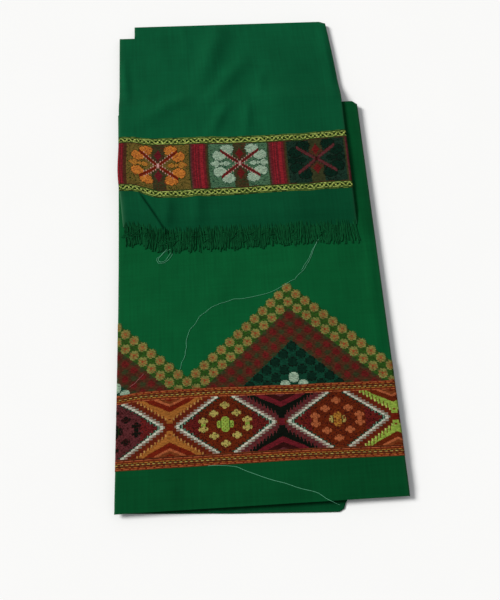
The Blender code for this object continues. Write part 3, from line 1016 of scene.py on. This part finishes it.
def figure_stitch(number, across, up):
    """The four-petalled figure: crossed stems with dots along them, petals, buds and two
    small diamonds."""
    petals, shaded, buds, stems, dots, diamond, ground, edged = BLOCK_YARNS[number]
    side, over = abs(across), abs(up)
    off_stem = abs(over - STEM_SLOPE * side)
    if side <= 24 and off_stem <= 2.3:
        return (dots, 1.2) if side < 2 else (stems, 0.9)
    if 1 < side <= 18 and off_stem <= 4.2 and side % 3 == 0:
        return dots, 1.3
    if side / 5.2 + abs(over - 14) / 8 <= 1:
        return diamond, 0.7
    petal_places = ((16, over - 20), (26, 12 - over))
    for x, rise in petal_places:
        mark = in_chart(PETAL, side - x, rise)
        if mark in "#o":
            shaded_stitch = mark == "o" or scatter(across, up) < 0.12
            return (shaded, 0.8) if shaded_stitch else (petals, 1.1)
    mark = in_chart(SPRAY, side - 25, up)
    if mark in "#o":
        return (buds if mark == "#" else shaded), 1.0
    by_petal = any(touches(PETAL, side - x, rise) for x, rise in petal_places)
    if by_petal or touches(SPRAY, side - 25, up):
        return (shaded, 1.2) if (across + up) % 4 == 0 else (edged, 0.1)
    fleck = scatter(across, up)
    if side < 9 and over > side * STEM_SLOPE + 3:
        bricks = (0.3, 0.3, 0.0 if over > 13 else 0.8)[number]
        return ("olive" if fleck > bricks else "brick"), 0.2
    return (edged, 0.2) if fleck < 0.12 else (ground, 0.4)


# Materials


BLACK = (0.0, 0.0, 0.0, 1.0)
# The colour that cloth pales towards along its edges, partly wear and partly painted highlight,
# as scene-linear numbers
WORN_AND_LIT_GREEN = (0.10, 0.22, 0.12)
# Depths of the finest relief
THREAD_RELIEF = 0.12 * MM
STITCH_RELIEF = 0.25 * MM


class Socket:
    """A shader value that Python's operators work on."""

    def __init__(self, shader, socket):
        self.shader = shader
        self.socket = socket

    def maths(self, operation, first, second=0.0):
        return self.shader.node("ShaderNodeMath", {"operation": operation}, [first, second])

    def __add__(self, other):
        return self.maths("ADD", self, other)

    def __sub__(self, other):
        return self.maths("SUBTRACT", self, other)

    def __rsub__(self, other):
        return self.maths("SUBTRACT", other, self)

    def __mul__(self, other):
        return self.maths("MULTIPLY", self, other)

    __radd__, __rmul__ = __add__, __mul__

    def sine(self):
        return self.maths("SINE", self)

    def absolute(self):
        return self.maths("ABSOLUTE", self)


class Finish:
    """A material on a Principled shader."""

    def __init__(self, name, **constants):
        self.material = bpy.data.materials.new(name)
        self.material.use_nodes = True
        self.tree = self.material.node_tree
        self.principled = self.tree.nodes["Principled BSDF"]
        for socket, value in constants.items():
            self.principled.inputs[socket.replace("_", " ")].default_value = value

    def node(self, kind, settings, inputs, output=0):
        """Adds a node with its settings, and the values or links of its sockets."""
        made = self.tree.nodes.new(kind)
        for name, value in settings.items():
            setattr(made, name, value)
        named = inputs.items() if isinstance(inputs, dict) else enumerate(inputs)
        for name, value in named:
            if isinstance(value, Socket):
                self.tree.links.new(value.socket, made.inputs[name])
            else:
                made.inputs[name].default_value = value
        return Socket(self, made.outputs[output])

    def feed(self, name, value):
        self.tree.links.new(value.socket, self.principled.inputs[name])

    def mix(self, share, first, second):
        """A mix of two colours."""
        settings = {"data_type": "RGBA", "clamp_factor": True}
        return self.node("ShaderNodeMix", settings, {0: share, 6: first, 7: second}, 2)

    def scaled(self, vector, scale):
        settings = {"vector_type": "POINT"}
        return self.node("ShaderNodeMapping", settings, {"Vector": vector, "Scale": scale})

    def attribute(self, name, output=2):
        """An attribute of the mesh: a number, or with output 0 a colour."""
        return self.node("ShaderNodeAttribute", {"attribute_name": name}, {}, output)

    def weave(self):
        """The place on the loom, as the piece's own UV map has it."""
        return self.node("ShaderNodeUVMap", {"uv_map": "weave"}, {})

    def place(self):
        """The place in the piece's own coordinates."""
        return self.node("ShaderNodeTexCoord", {}, {}, 3)

    def noise(self, vector, scale, detail=2.0):
        inputs = {"Vector": vector, "Scale": scale, "Detail": detail}
        return self.node("ShaderNodeTexNoise", {"noise_dimensions": "3D"}, inputs)

    def bump(self, height, distance):
        inputs = {"Height": height, "Distance": distance}
        self.feed("Normal", self.node("ShaderNodeBump", {}, inputs))

    def parts(self, vector):
        """The x and y of a vector."""
        return [self.node("ShaderNodeSeparateXYZ", {}, [vector], k) for k in range(2)]


def scaled_colour(colour, share):
    return (*(channel * share for channel in colour), 1.0)


def plain_weave(finish, threads):
    """The height of a plain weave, from 0 to 1, where threads counts warp and weft."""
    warp, weft = (side * math.pi for side in finish.parts(threads))
    crossing = warp.sine() * weft.sine()
    ridges = warp.sine().absolute() + weft.sine().absolute()
    return crossing * 0.35 + ridges * 0.3


def cloth_material(name, colour, toned):
    """Plain-woven cotton: threads, slubs along both thread directions, and where toned, painted
    shade and pale edges that are partly wear and partly painted highlight.
    """
    finish = Finish(name, Roughness=0.9, Specular_IOR_Level=0.03)
    pitch = cloth_settings().thread_pitch / MM
    uv = finish.weave()
    threads = finish.scaled(uv, (1 / pitch, 1 / pitch, 1))
    warp_slubs = finish.noise(finish.scaled(uv, (0.42, 0.018, 1)), 1.0, 3.0)
    weft_slubs = finish.noise(finish.scaled(uv, (0.018, 0.42, 1)), 1.0, 3.0)
    patches = finish.noise(uv, 0.028, 3.0)
    tone = (warp_slubs - 0.5) * 0.5 + (weft_slubs - 0.5) * 0.35 + (patches - 0.5) * 0.45 + 0.5
    body = finish.mix(tone, scaled_colour(colour, 0.62), scaled_colour(colour, 1.38))
    if toned:
        # Painted shade: the colour darkens towards black as the mesh's shade attribute says
        body = finish.mix(finish.attribute("deep") * 0.4, body, BLACK)
        # Pale edges: partly wear, partly painted highlight where the rolled edges catch the light
        worn_and_lit = (*(0.55 * c + 0.45 * p for c, p in zip(colour, WORN_AND_LIT_GREEN)), 1.0)
        body = finish.mix(finish.attribute("pale"), body, worn_and_lit)
    finish.feed("Base Color", body)
    finish.feed("Roughness", 0.82 + tone * 0.16)
    height = plain_weave(finish, threads) + warp_slubs * 0.5 + weft_slubs * 0.5
    finish.bump(height, THREAD_RELIEF)
    return finish.material


def yarn_material():
    """Extra weft: each row of stitches is a thick soft yarn with a twist."""
    finish = Finish("woven_yarns", Roughness=0.85, Specular_IOR_Level=0.04)
    uv = finish.weave()
    column, row = finish.parts(uv)
    dye = finish.attribute("yarn", 0)
    fibres = finish.noise(finish.scaled(uv, (0.9, 3.2, 1)), 1.0, 3.0)
    patches = finish.noise(uv, 0.05)
    shade = fibres * 0.6 + patches * 0.4
    dark = finish.mix(0.45, dye, BLACK)
    finish.feed("Base Color", finish.mix(shade * 1.5 - 0.2, dark, dye))
    finish.feed("Roughness", 0.72 + fibres * 0.25)
    ply = (row * math.pi).sine().absolute()
    twist = ((column * 2.0 + row * 1.0) * math.pi).sine() * 0.25
    finish.bump(ply + twist + fibres * 0.4, STITCH_RELIEF)
    return finish.material


def loose_yarn_material(name, colours):
    """Cotton yarn: fibres along it, and a colour between two tones that the shade attribute sets;
    on the fringe that attribute is painted shade.
    """
    finish = Finish(name, Roughness=0.85, Specular_IOR_Level=0.05)
    fibres = finish.noise(finish.place(), 2600.0)
    body = finish.mix(finish.attribute("shade"), (*colours[0], 1.0), (*colours[1], 1.0))
    speck = finish.mix(0.5, body, BLACK)
    finish.feed("Base Color", finish.mix(fibres * 1.4 - 0.1, speck, body))
    finish.feed("Roughness", 0.75 + fibres * 0.2)
    finish.bump(fibres, THREAD_RELIEF)
    return finish.material


def floor_material(colour):
    """A plain pale floor with a faint mottle."""
    finish = Finish("pale_floor", Roughness=0.9, Specular_IOR_Level=0.1)
    mottle = finish.noise(finish.place(), 9.0)
    finish.feed("Base Color", finish.mix(mottle, scaled_colour(colour, 0.985), (*colour, 1.0)))
    return finish.material


# Operators


class MEKHELA_OT_stage(bpy.types.Operator):
    """Adds the pale floor, the soft light and the camera"""

    bl_idname = "mekhela.stage"
    bl_label = "Stage"

    def execute(self, context):
        settings = context.scene.mekhela_stage
        deselect_all()
        bpy.ops.mesh.primitive_plane_add(size=FLOOR_SIZE)
        floor = context.object
        floor.name = "floor"
        floor.data.materials.append(floor_material(settings.floor))

        context.scene.view_settings.view_transform = "Standard"
        world = bpy.data.worlds.new("soft_sky")
        world.use_nodes = True
        sky = world.node_tree.nodes["Background"]
        sky.inputs["Color"].default_value = SKY_COLOUR
        sky.inputs["Strength"].default_value = settings.sky_strength
        context.scene.world = world

        bpy.ops.object.light_add(type="SUN", location=LAMP_PLACE)
        lamp = context.object
        lamp.name = "soft_lamp"
        lamp.data.angle = math.radians(settings.lamp_spread)
        lamp.data.energy = settings.lamp_strength
        lamp.data.color = LAMP_COLOUR
        lamp.rotation_euler = (-lamp.location).to_track_quat("-Z", "Y").to_euler()

        back = CAMERA_RIGHT.cross(CAMERA_UP).normalized()
        up = back.cross(CAMERA_RIGHT).normalized()
        turned = Matrix((CAMERA_RIGHT, up, back)).transposed().to_4x4()
        bpy.ops.object.camera_add()
        camera = context.object
        camera.name = "camera"
        camera.matrix_world = Matrix.Translation(CAMERA_PLACE) @ turned
        camera.data.lens = settings.lens
        camera.data.sensor_width = SENSOR
        camera.data.clip_start = 10 * MM
        context.scene.camera = camera
        return {"FINISHED"}


class MEKHELA_OT_under_cloth(bpy.types.Operator):
    """Adds the length of cloth that rests on the table and shows at the foot"""

    bl_idname = "mekhela.under_cloth"
    bl_label = "Length on the table"

    def execute(self, context):
        inset = 3.2 * MM
        left, right = -HALF_WIDTH + LEFT_BOW + 1.2 * MM, HALF_WIDTH - 1.2 * MM
        top_row = END_TOP_Y - inset
        corners = [
            FOOT_LEFT,
            FOOT_LEFT.lerp(FOOT_LOW, 0.5) - in_plan(0, 0.5 * MM),
            FOOT_LOW,
            FOOT_LOW.lerp(FOOT_RIGHT, 0.5) + in_plan(1.6 * MM, -1.4 * MM),
            FOOT_RIGHT,
            in_plan(FOOT_RIGHT.x + 3 * MM, INNER_Y),
            in_plan(right, INNER_Y),
            in_plan(right, FOLD_Y - 7 * MM),
            in_plan(right - 4 * MM, FOLD_Y - inset),
            end_plan(END_RIGHT - inset, FOLD_Y + 5 * MM),
            end_plan(END_RIGHT - inset, top_row - 12 * MM),
            end_plan(END_RIGHT - 8 * MM, top_row),
            end_plan(NOTCH_X + inset, top_row),
            end_plan(NOTCH_X + inset, NOTCH_Y - inset),
            end_plan(END_LEFT + inset, NOTCH_Y - inset),
            end_plan(END_LEFT + inset, FOLD_Y + 5 * MM),
            in_plan(left, 0),
            in_plan(left, HEM_Y * 0.6),
        ]
        outline = evenly_along(corners, 4 * MM)
        levels = [(UNDER_LENGTH * up, UNDER_LENGTH * out) for up, out in SLAB_EDGE]
        obj = layered_stack("under_cloth", outline, levels, 0.25 * MM)
        settings = cloth_settings()
        # Painted shade: the darker green of the cloth in the folds
        material = cloth_material("under_cloth", settings.shaded_green, False)
        finish_piece(obj, material)
        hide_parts("under_length")
        return {"FINISHED"}


class MEKHELA_OT_inner_layers(bpy.types.Operator):
    """Adds the layers that are folded inside both parts and show at their sides"""

    bl_idname = "mekhela.inner_layers"
    bl_label = "Layers inside"

    def execute(self, context):
        settings = cloth_settings()
        # Painted shade: the darker green of the cloth in the folds
        material = cloth_material("inner_layers", settings.shaded_green, False)

        inset = 1.5 * MM
        half_x, top = HALF_WIDTH - inset, FOLD_Y - inset
        corners = ((-half_x, INNER_Y), (half_x, INNER_Y), (half_x, top), (-half_x, top))
        outline = evenly_along([in_plan(*corner) for corner in corners], 3.5 * MM, 8 * MM)
        outline = [in_plan(bowed(point.x, point.y), point.y) for point in outline]
        levels = layer_levels(5, INNER_Z, INNER_FOLDS, (0.0, 0.5, 0.2, 1.1, 0.5))
        hem_layers = layered_stack("hem_layers", outline, levels, 0.35 * MM)
        finish_piece(hem_layers, material)
        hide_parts("inner_folds")

        side, inset = CLOTH + GAP, END_FOLD_ROLL + GAP
        left, right, notch_x = END_LEFT + side, END_RIGHT - side, NOTCH_X + side
        low, top, notch_y = END_ROOT_Y + END_FOLDS_LOW, END_TOP_Y - inset, NOTCH_Y - inset
        corners = ((left, low), (right, low), (right, top))
        corners += ((notch_x, top), (notch_x, notch_y), (left, notch_y))
        outline = evenly_along([in_plan(*corner) for corner in corners], 3.5 * MM)
        levels = layer_levels(3, END_FOLDS_Z, END_FOLDS, (0.0, 0.5, 0.2))
        end_layers = layered_end("end_layers", outline, levels)
        finish_piece(end_layers, material)
        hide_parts("end_folds")
        return {"FINISHED"}


def evenly_along(corners, step, rounding=0.0):
    """Points evenly along a closed outline, with its corners rounded off by arcs."""
    outline = []
    for k, here in enumerate(corners):
        before, after = corners[k - 1], corners[(k + 1) % len(corners)]
        cut = min(rounding, (before - here).length / 3, (after - here).length / 3)
        start = here + (before - here).normalized() * cut
        end = here + (after - here).normalized() * cut
        turn = [start.lerp(here, t).lerp(here.lerp(end, t), t) for t in (0, 0.25, 0.5, 0.75, 1)]
        outline += turn if cut else [here]
        ahead = after + (here - after).normalized() * cut
        count = max(1, round((ahead - end).length / step))
        outline += [end.lerp(ahead, m / count) for m in range(1, count)]
    return outline


def layer_levels(count, low, thickness, insets):
    """The rounded fold edges of a number of layers, as (height, how far out) pairs."""
    share = thickness / count
    levels = []
    for layer in range(count):
        for rise, out in LAYER_EDGE:
            levels.append((low + share * (layer + rise), share * out - insets[layer] * MM))
    levels.append((low + thickness, -0.75 * share - insets[-1] * MM))
    return levels


def layered_stack(name, outline, levels, wander):
    """A closed stack of cloth layers on an outline that runs anticlockwise: a filled ring,
    extruded level by level, whose edge goes in and out as the levels say."""
    count = len(outline)
    deselect_all()
    bpy.ops.mesh.primitive_circle_add(vertices=count, radius=1, fill_type="NGON")
    obj = bpy.context.object
    obj.name = name
    obj.data.name = name
    with edit_mode(obj):
        for _ in levels[1:]:
            bpy.ops.mesh.extrude_region_move(TRANSFORM_OT_translate={"value": (0, 0, 1)})
    outs = outward_in_plan(outline)
    mesh = obj.data
    where = {}
    for vertex in mesh.vertices:
        angle = math.atan2(vertex.co.y, vertex.co.x)
        k = round(angle / (2 * math.pi) * count) % count
        level = round(vertex.co.z)
        z, out = levels[level]
        layer = level // LEVELS_IN_LAYER
        uneven = wander * noise.noise(Vector((k * 0.11, layer * 3.7, 2.0)))
        vertex.co = outline[k] + outs[k] * (out + uneven)
        vertex.co.z = z
        where[vertex.index] = (k, level)
    weave = mesh.uv_layers.new(name="weave")
    for face in mesh.polygons:
        is_flat = len(face.vertices) > 4
        ring = [where[mesh.loops[c].vertex_index][0] for c in face.loop_indices]
        wraps = max(ring) - min(ring) > 1
        for corner in face.loop_indices:
            vertex = mesh.vertices[mesh.loops[corner].vertex_index]
            k, level = where[vertex.index]
            if is_flat:
                weave.uv[corner].vector = vertex.co.xy / MM
            else:
                along = k + count if wraps and k == 0 else k
                weave.uv[corner].vector = (along * EDGE_STEP, level * LEVEL_STEP)
    with edit_mode(obj):
        bpy.ops.mesh.normals_make_consistent(inside=False)
    return obj


def layered_end(name, outline, levels):
    """The stack of layers inside the turned-back end, on the end's own columns and rows. It is
    cut across wherever it bends over the step."""
    obj = layered_stack(name, outline, levels, 0.3 * MM)
    with edit_mode(obj):
        for row in spaced(FOLD_Y - 4 * MM, FOLD_Y + STEP_LENGTH + 6 * MM, 3 * MM):
            bpy.ops.mesh.select_all(action="SELECT")
            bpy.ops.mesh.bisect(plane_co=(0, row, 0), plane_no=(0, 1, 0))
    for vertex in obj.data.vertices:
        height = vertex.co.z
        vertex.co = end_plan(vertex.co.x, vertex.co.y)
        vertex.co.z = height + step_lift(vertex.co.y)
    obj.data.update()
    return obj


def outward_in_plan(outline):
    """The outward direction at each point of a closed outline that runs anticlockwise."""
    outs = []
    for k, after in enumerate(outline[1:] + outline[:1]):
        along = (after - outline[k - 1]).normalized()
        outs.append(Vector((along.y, -along.x, 0)))
    return outs


class MEKHELA_OT_hem_cloth(bpy.types.Operator):
    """Adds the hem end's outer layer, which faces up"""

    bl_idname = "mekhela.hem_cloth"
    bl_label = "Hem end"

    def execute(self, context):
        settings = cloth_settings()
        columns = edge_spaced(-HALF_WIDTH, HALF_WIDTH, settings.mesh_step, SIDE_ROLL)
        rows = spaced(HEM_Y, FOLD_Y - FOLD_ROLL, settings.mesh_step)
        rows += round_rows(FOLD_Y, FOLD_ROLL, HEM_FOLD_TURN)

        # Pale along both sides, partly wear and partly painted highlight. Painted shade: darker
        # towards the hem and towards the right, and darkest beside the turned-back end, a painted
        # shadow of that end
        def tone(x, y):
            at_side = math.exp(-min(x + HALF_WIDTH, HALF_WIDTH - x) / (1.2 * MM))
            near_hem = 1 - eased(y - HEM_Y - 40 * MM, 40)
            beside_end = eased(x - END_RIGHT, 4) * eased(y + 30 * MM, 30)
            to_right = eased(x - 20 * MM, 110)
            deep = 0.08 + 0.7 * near_hem + 0.55 * beside_end + 0.25 * to_right
            return 0.3 * at_side, min(1.0, deep)

        obj = cloth_shell("hem_cloth", columns, rows, hem_place, tone)
        finish_piece(obj, cloth_material("hem_cloth", settings.green, True))
        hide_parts("hem_panel")
        return {"FINISHED"}


class MEKHELA_OT_hem_border(bpy.types.Operator):
    """Adds the wide border of diamonds near the hem"""

    bl_idname = "mekhela.hem_border"
    bl_label = "Border of diamonds"

    def execute(self, context):
        across, up = HEM_STITCHES
        low, high = HEM_Y + HEM_BAND[0], HEM_Y + HEM_BAND[1]

        def stitch_place(column, row, height):
            x = -HALF_WIDTH + 2 * HALF_WIDTH * column / across
            pull = between(HEM_LOWER_PULL, x / MM) * (1 - row / up)
            pull += between(HEM_UPPER_PULL, x / MM) * row / up
            return raised(hem_place, x, low + (high - low) * row / up + pull * MM, height)

        obj = woven_pad("hem_border", HEM_STITCHES, stitch_place, hem_stitch)
        finish_piece(obj, yarn_material())
        return {"FINISHED"}


class MEKHELA_OT_rosette_zigzag(bpy.types.Operator):
    """Adds the zigzag of woven rosettes over the wide border"""

    bl_idname = "mekhela.rosette_zigzag"
    bl_label = "Zigzag of rosettes"

    def execute(self, context):
        across, _ = ZIGZAG_STITCHES
        low = HEM_Y + HEM_BAND[1]

        def stitch_place(column, row, height):
            x = -HALF_WIDTH + 2 * HALF_WIDTH * column / across
            pull = between(HEM_UPPER_PULL, x / MM) * (1 - smooth(row / PEAK_ROW))
            return raised(hem_place, x, low + ZIGZAG_STITCH_HEIGHT * row + pull * MM, height)

        obj = woven_pad("rosette_zigzag", ZIGZAG_STITCHES, stitch_place, zigzag_stitch)
        finish_piece(obj, yarn_material())
        return {"FINISHED"}


class MEKHELA_OT_end_cloth(bpy.types.Operator):
    """Adds the outer layer of the turned-back end"""

    bl_idname = "mekhela.end_cloth"
    bl_label = "Turned-back end"

    def execute(self, context):
        settings = cloth_settings()
        step = settings.mesh_step
        near = [END_ROLL * share for share in ROLLED]
        columns = [END_LEFT + inside for inside in near]
        columns += spaced(columns[-1], NOTCH_X, 1.5 * MM)[1:-1]
        columns += [NOTCH_X + inside for inside in near]
        past_flap, over_flap = END_LEFT + 62 * MM, END_ROOT_Y + 44 * MM
        columns += spaced(columns[-1], past_flap, 1.2 * MM)[1:-1]
        columns += spaced(past_flap, END_RIGHT - near[-1], step)[:-1]
        columns += [END_RIGHT - inside for inside in reversed(near)]
        rows = spaced(END_ROOT_Y, over_flap, 1.6 * MM)[:-1]
        rows += spaced(over_flap, NOTCH_Y - 2 * END_FOLD_ROLL, step)[:-1]
        rows += [NOTCH_Y - END_FOLD_ROLL * inside for inside in ROLLED_AT_NOTCH]
        rows += spaced(rows[-1], END_TOP_Y - END_FOLD_ROLL, step)[1:]
        rows += round_rows(END_TOP_Y, END_FOLD_ROLL, END_FOLD_TURN)

        # Pale along both sides, most at the left below the border, partly wear and partly painted
        # highlight. Painted shade: darker towards the foot and towards the right
        def tone(column, row):
            at_left = math.exp(-(column - end_left(row)) / (1.6 * MM))
            at_right = math.exp(-(END_RIGHT - column) / (1.2 * MM))
            below_band = row < END_ROOT_Y + END_BAND[0]
            pale = (0.9 if below_band else 0.35) * at_left + 0.25 * at_right
            to_right = eased(column - 20 * MM, 70) * (1 - eased(row - 250 * MM, 50))
            near_foot = 1 - eased(row - END_ROOT_Y - END_BAND[0], 30)
            return pale, min(1.0, 0.5 * near_foot + 0.3 * to_right)

        obj = cloth_shell("end_cloth", columns, rows, end_place, tone, beside_notch)
        finish_piece(obj, cloth_material("end_cloth", settings.end_green, True))
        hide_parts("end_panel")
        return {"FINISHED"}


class MEKHELA_OT_end_border(bpy.types.Operator):
    """Adds the narrow border of four-petalled figures near the fringe"""

    bl_idname = "mekhela.end_border"
    bl_label = "Border of four petals"

    def execute(self, context):
        across, up = END_STITCHES
        low, high = END_ROOT_Y + END_BAND[0], END_ROOT_Y + END_BAND[1]

        def stitch_place(column, row, height):
            x = END_LEFT + (END_RIGHT - END_LEFT) * column / across
            return raised(end_place, x, low + (high - low) * row / up, height)

        obj = woven_pad("end_border", END_STITCHES, stitch_place, end_stitch)
        finish_piece(obj, yarn_material())
        return {"FINISHED"}


def yarn_mesh(name, lines, radius, shades):
    """Yarns as one mesh: each line of points becomes a thin closed tube. shades gives each
    yarn's shade at its two ends, a share between its material's two tones; on the fringe, painted
    shade."""
    curve = bpy.data.curves.new(name, "CURVE")
    curve.dimensions = "3D"
    curve.bevel_depth = radius
    curve.bevel_resolution = 1
    curve.use_fill_caps = True
    for line in lines:
        spline = curve.splines.new("POLY")
        spline.points.add(len(line) - 1)
        for point, place in zip(spline.points, line):
            point.co = (*place, 1.0)
    obj = bpy.data.objects.new(name, curve)
    bpy.context.scene.collection.objects.link(obj)
    select_only(obj)
    bpy.ops.object.convert(target="MESH")
    obj = bpy.context.object
    shade = obj.data.attributes.new("shade", "FLOAT", "POINT")
    around = len(obj.data.vertices) // sum(len(line) + 2 for line in lines)
    values = []
    for line, (start, end) in zip(lines, shades):
        steps = [k / (len(line) - 1) for k in range(len(line))] + [0.0, 1.0]
        values += [start + (end - start) * t for t in steps for _ in range(around)]
    shade.data.foreach_set("value", values)
    with edit_mode(obj):
        bpy.ops.mesh.remove_doubles(threshold=radius / 100)
        bpy.ops.mesh.normals_make_consistent(inside=False)
    return obj


def smooth_line(points, per_span):
    """A smooth line through points."""
    line = []
    ends = [points[0], *points, points[-1]]
    for p0, p1, p2, p3 in zip(ends, ends[1:], ends[2:], ends[3:]):
        bent, turned = 2 * p0 - 5 * p1 + 4 * p2 - p3, 3 * p1 - p0 - 3 * p2 + p3
        for m in range(per_span):
            t = m / per_span
            line.append(0.5 * (2 * p1 + (p2 - p0) * t + bent * t**2 + turned * t**3))
    return line + [points[-1]]


class MEKHELA_OT_fringe(bpy.types.Operator):
    """Adds the fringe: tufts of yarns drawn out of the foot of the turned-back end"""

    bl_idname = "mekhela.fringe"
    bl_label = "Fringe"

    def execute(self, context):
        settings = context.scene.mekhela_fringe
        rng = random.Random(FRINGE_SEED)
        radius = settings.yarn_radius
        left, right = END_LEFT + 1.2 * MM, END_RIGHT - 1.2 * MM
        lines, shades = [], []
        for tuft in range(settings.tufts):
            column = left + (right - left) * (tuft + 0.5) / settings.tufts
            lean = (2.6 * math.sin(tuft * 0.37) + 1.4 * math.sin(tuft * 0.9 + 1)) * MM
            shorter = 0.1 * eased(column + 40 * MM, 110)
            length = settings.length * rng.uniform(0.82, 1.0) * (1 - shorter)
            # Painted shade: some clumps of tufts are darker, where the yarns shadow one another
            clump_shadow = noise.noise(Vector((tuft * 0.31, 0.0, 7.0)))
            for yarn in range(settings.yarns):
                lines.append(self.yarn_line(rng, column, lean, length, yarn, radius))
                # Each yarn is painted lighter at its root and darker towards its tip: painted
                # shade
                shades.append((0.8, 0.2 + 0.8 * clump_shadow + rng.uniform(-0.1, 0.1)))
        for _ in range(CROSS_YARNS):
            lines.append(self.cross_line(rng, left, right, radius))
            shades.append((rng.random(), rng.random()))
        obj = yarn_mesh("fringe_yarns", lines, radius, shades)
        green = cloth_settings().fringe_green
        # The dark and light tones between which the painted shade of the fringe runs
        pair = [tuple(c * 0.58 for c in green), tuple(c * 1.5 for c in green)]
        finish_piece(obj, loose_yarn_material("fringe_yarns", pair), 80)
        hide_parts("fringe")
        return {"FINISHED"}

    def yarn_line(self, rng, column, lean, length, yarn, radius):
        """One yarn of a tuft: out of the face of the cloth's foot and down on the hem end."""
        spread = rng.uniform(-1.0, 1.0) * MM
        bend = rng.uniform(-1.1, 1.1) * MM
        reach = length * rng.uniform(0.8, 1.0)
        above = (0.5 + 8 * rng.random() ** 1.6) * MM
        root = end_plan(column, END_ROOT_Y)
        on_cloth = end_place(column, END_ROOT_Y + above).z - radius
        over_edge = end_place(column, END_ROOT_Y).z + 0.6 * radius
        points = []
        for k in range(YARN_POINTS):
            t = k / (YARN_POINTS - 1)
            x = root.x + spread + lean * t**1.4 + bend * math.sin(math.pi * 1.3 * t)
            y = root.y + above - (reach + above) * t
            rest = hem_place(x, y).z + radius + yarn * 0.14 * MM * (1 - 0.5 * t)
            if y > root.y:
                share = (y - root.y) / above
                z = over_edge + (on_cloth - over_edge) * share
            else:
                z = over_edge + (rest - over_edge) * eased(root.y - y, 5)
                z += 0.25 * MM * abs(math.sin(5 * t + yarn + bend / MM)) * smooth((t - 0.3) / 0.3)
            points.append(Vector((x, y, z)))
        return points

    def cross_line(self, rng, left, right, radius):
        """A yarn that has come loose and lies across the others."""
        column = left + (right - left) * rng.random() ** 1.7
        root = end_plan(column, END_ROOT_Y)
        angle = rng.uniform(-0.9, 0.9)
        length = rng.uniform(5, 12) * MM
        start_y = root.y - rng.uniform(4, 15) * MM
        curl = rng.uniform(-2.5, 2.5) * MM
        points = []
        for k in range(CROSS_YARN_POINTS):
            t = k / (CROSS_YARN_POINTS - 1)
            x = root.x + math.cos(angle) * length * (t - 0.5)
            y = start_y + math.sin(angle) * length * (t - 0.5) + curl * math.sin(math.pi * t)
            z = hem_place(x, y).z + radius + 1.0 * MM + 0.3 * MM * math.sin(6 * t)
            points.append(Vector((x, y, z)))
        return points


class MEKHELA_OT_loose_threads(bpy.types.Operator):
    """Adds the stray threads that lie on the cloth"""

    bl_idname = "mekhela.loose_threads"
    bl_label = "Stray threads"

    def execute(self, context):
        settings = cloth_settings()
        kinds = (
            ("pale_threads", (LONG_THREAD, HEM_THREAD, LOOPED_THREAD), settings.pale_green),
            ("pink_thread", (SHORT_THREAD,), settings.pale_pink),
        )
        for name, routes, colour in kinds:
            lines = []
            for route in routes:
                points = [Vector((x * MM, y * MM, 0)) for x, y in route]
                line = smooth_line(points, 4)
                for k, point in enumerate(line):
                    point.x += 0.5 * MM * math.sin(k * 1.3)
                    point.y += 0.4 * MM * math.sin(k * 0.9 + 1)
                    past_hem = eased(HEM_Y - point.y, 4)
                    rest = hem_place(point.x, point.y).z
                    point.z = rest + (UNDER_LENGTH - rest) * past_hem + THREAD_RADIUS * 1.2
                    point.z += 0.25 * MM * abs(math.sin(k * 0.7))
                lines.append(line)
            obj = yarn_mesh(name, lines, THREAD_RADIUS, [(0.4, 0.7)] * len(lines))
            pair = [tuple(c * 0.8 for c in colour), tuple(min(1, c * 1.3) for c in colour)]
            finish_piece(obj, loose_yarn_material(name, pair), 80)
        return {"FINISHED"}


class MEKHELA_PT_panel(bpy.types.Panel):
    """Lists the pieces of the folded mekhela and their settings"""

    bl_idname = "MEKHELA_PT_panel"
    bl_label = "Folded mekhela"
    bl_space_type = "VIEW_3D"
    bl_region_type = "UI"
    bl_category = "Mekhela"

    def draw(self, context):
        for operator in OPERATORS:
            self.layout.operator(operator.bl_idname)
        for name in SETTINGS:
            group = getattr(context.scene, name)
            box = self.layout.box()
            for entry in group.bl_rna.properties:
                if entry.identifier not in ("rna_type", "name"):
                    box.prop(group, entry.identifier)


SETTINGS = {
    "mekhela_cloth": MekhelaClothSettings,
    "mekhela_border": MekhelaBorderSettings,
    "mekhela_fringe": MekhelaFringeSettings,
    "mekhela_stage": MekhelaStageSettings,
}
OPERATORS = (
    MEKHELA_OT_stage,
    MEKHELA_OT_under_cloth,
    MEKHELA_OT_inner_layers,
    MEKHELA_OT_hem_cloth,
    MEKHELA_OT_hem_border,
    MEKHELA_OT_rosette_zigzag,
    MEKHELA_OT_end_cloth,
    MEKHELA_OT_end_border,
    MEKHELA_OT_fringe,
    MEKHELA_OT_loose_threads,
)


def register():
    for name, settings in SETTINGS.items():
        bpy.utils.register_class(settings)
        setattr(bpy.types.Scene, name, PointerProperty(type=settings))
    for operator in OPERATORS:
        bpy.utils.register_class(operator)
    bpy.utils.register_class(MEKHELA_PT_panel)


def unregister():
    bpy.utils.unregister_class(MEKHELA_PT_panel)
    for operator in reversed(OPERATORS):
        bpy.utils.unregister_class(operator)
    for name, settings in SETTINGS.items():
        delattr(bpy.types.Scene, name)
        bpy.utils.unregister_class(settings)


def main():
    register()
    bpy.ops.mekhela.stage()
    bpy.ops.mekhela.under_cloth()
    bpy.ops.mekhela.inner_layers()
    bpy.ops.mekhela.hem_cloth()
    bpy.ops.mekhela.hem_border()
    bpy.ops.mekhela.rosette_zigzag()
    bpy.ops.mekhela.end_cloth()
    bpy.ops.mekhela.end_border()
    bpy.ops.mekhela.fringe()
    bpy.ops.mekhela.loose_threads()


if __name__ == "__main__":
    main()
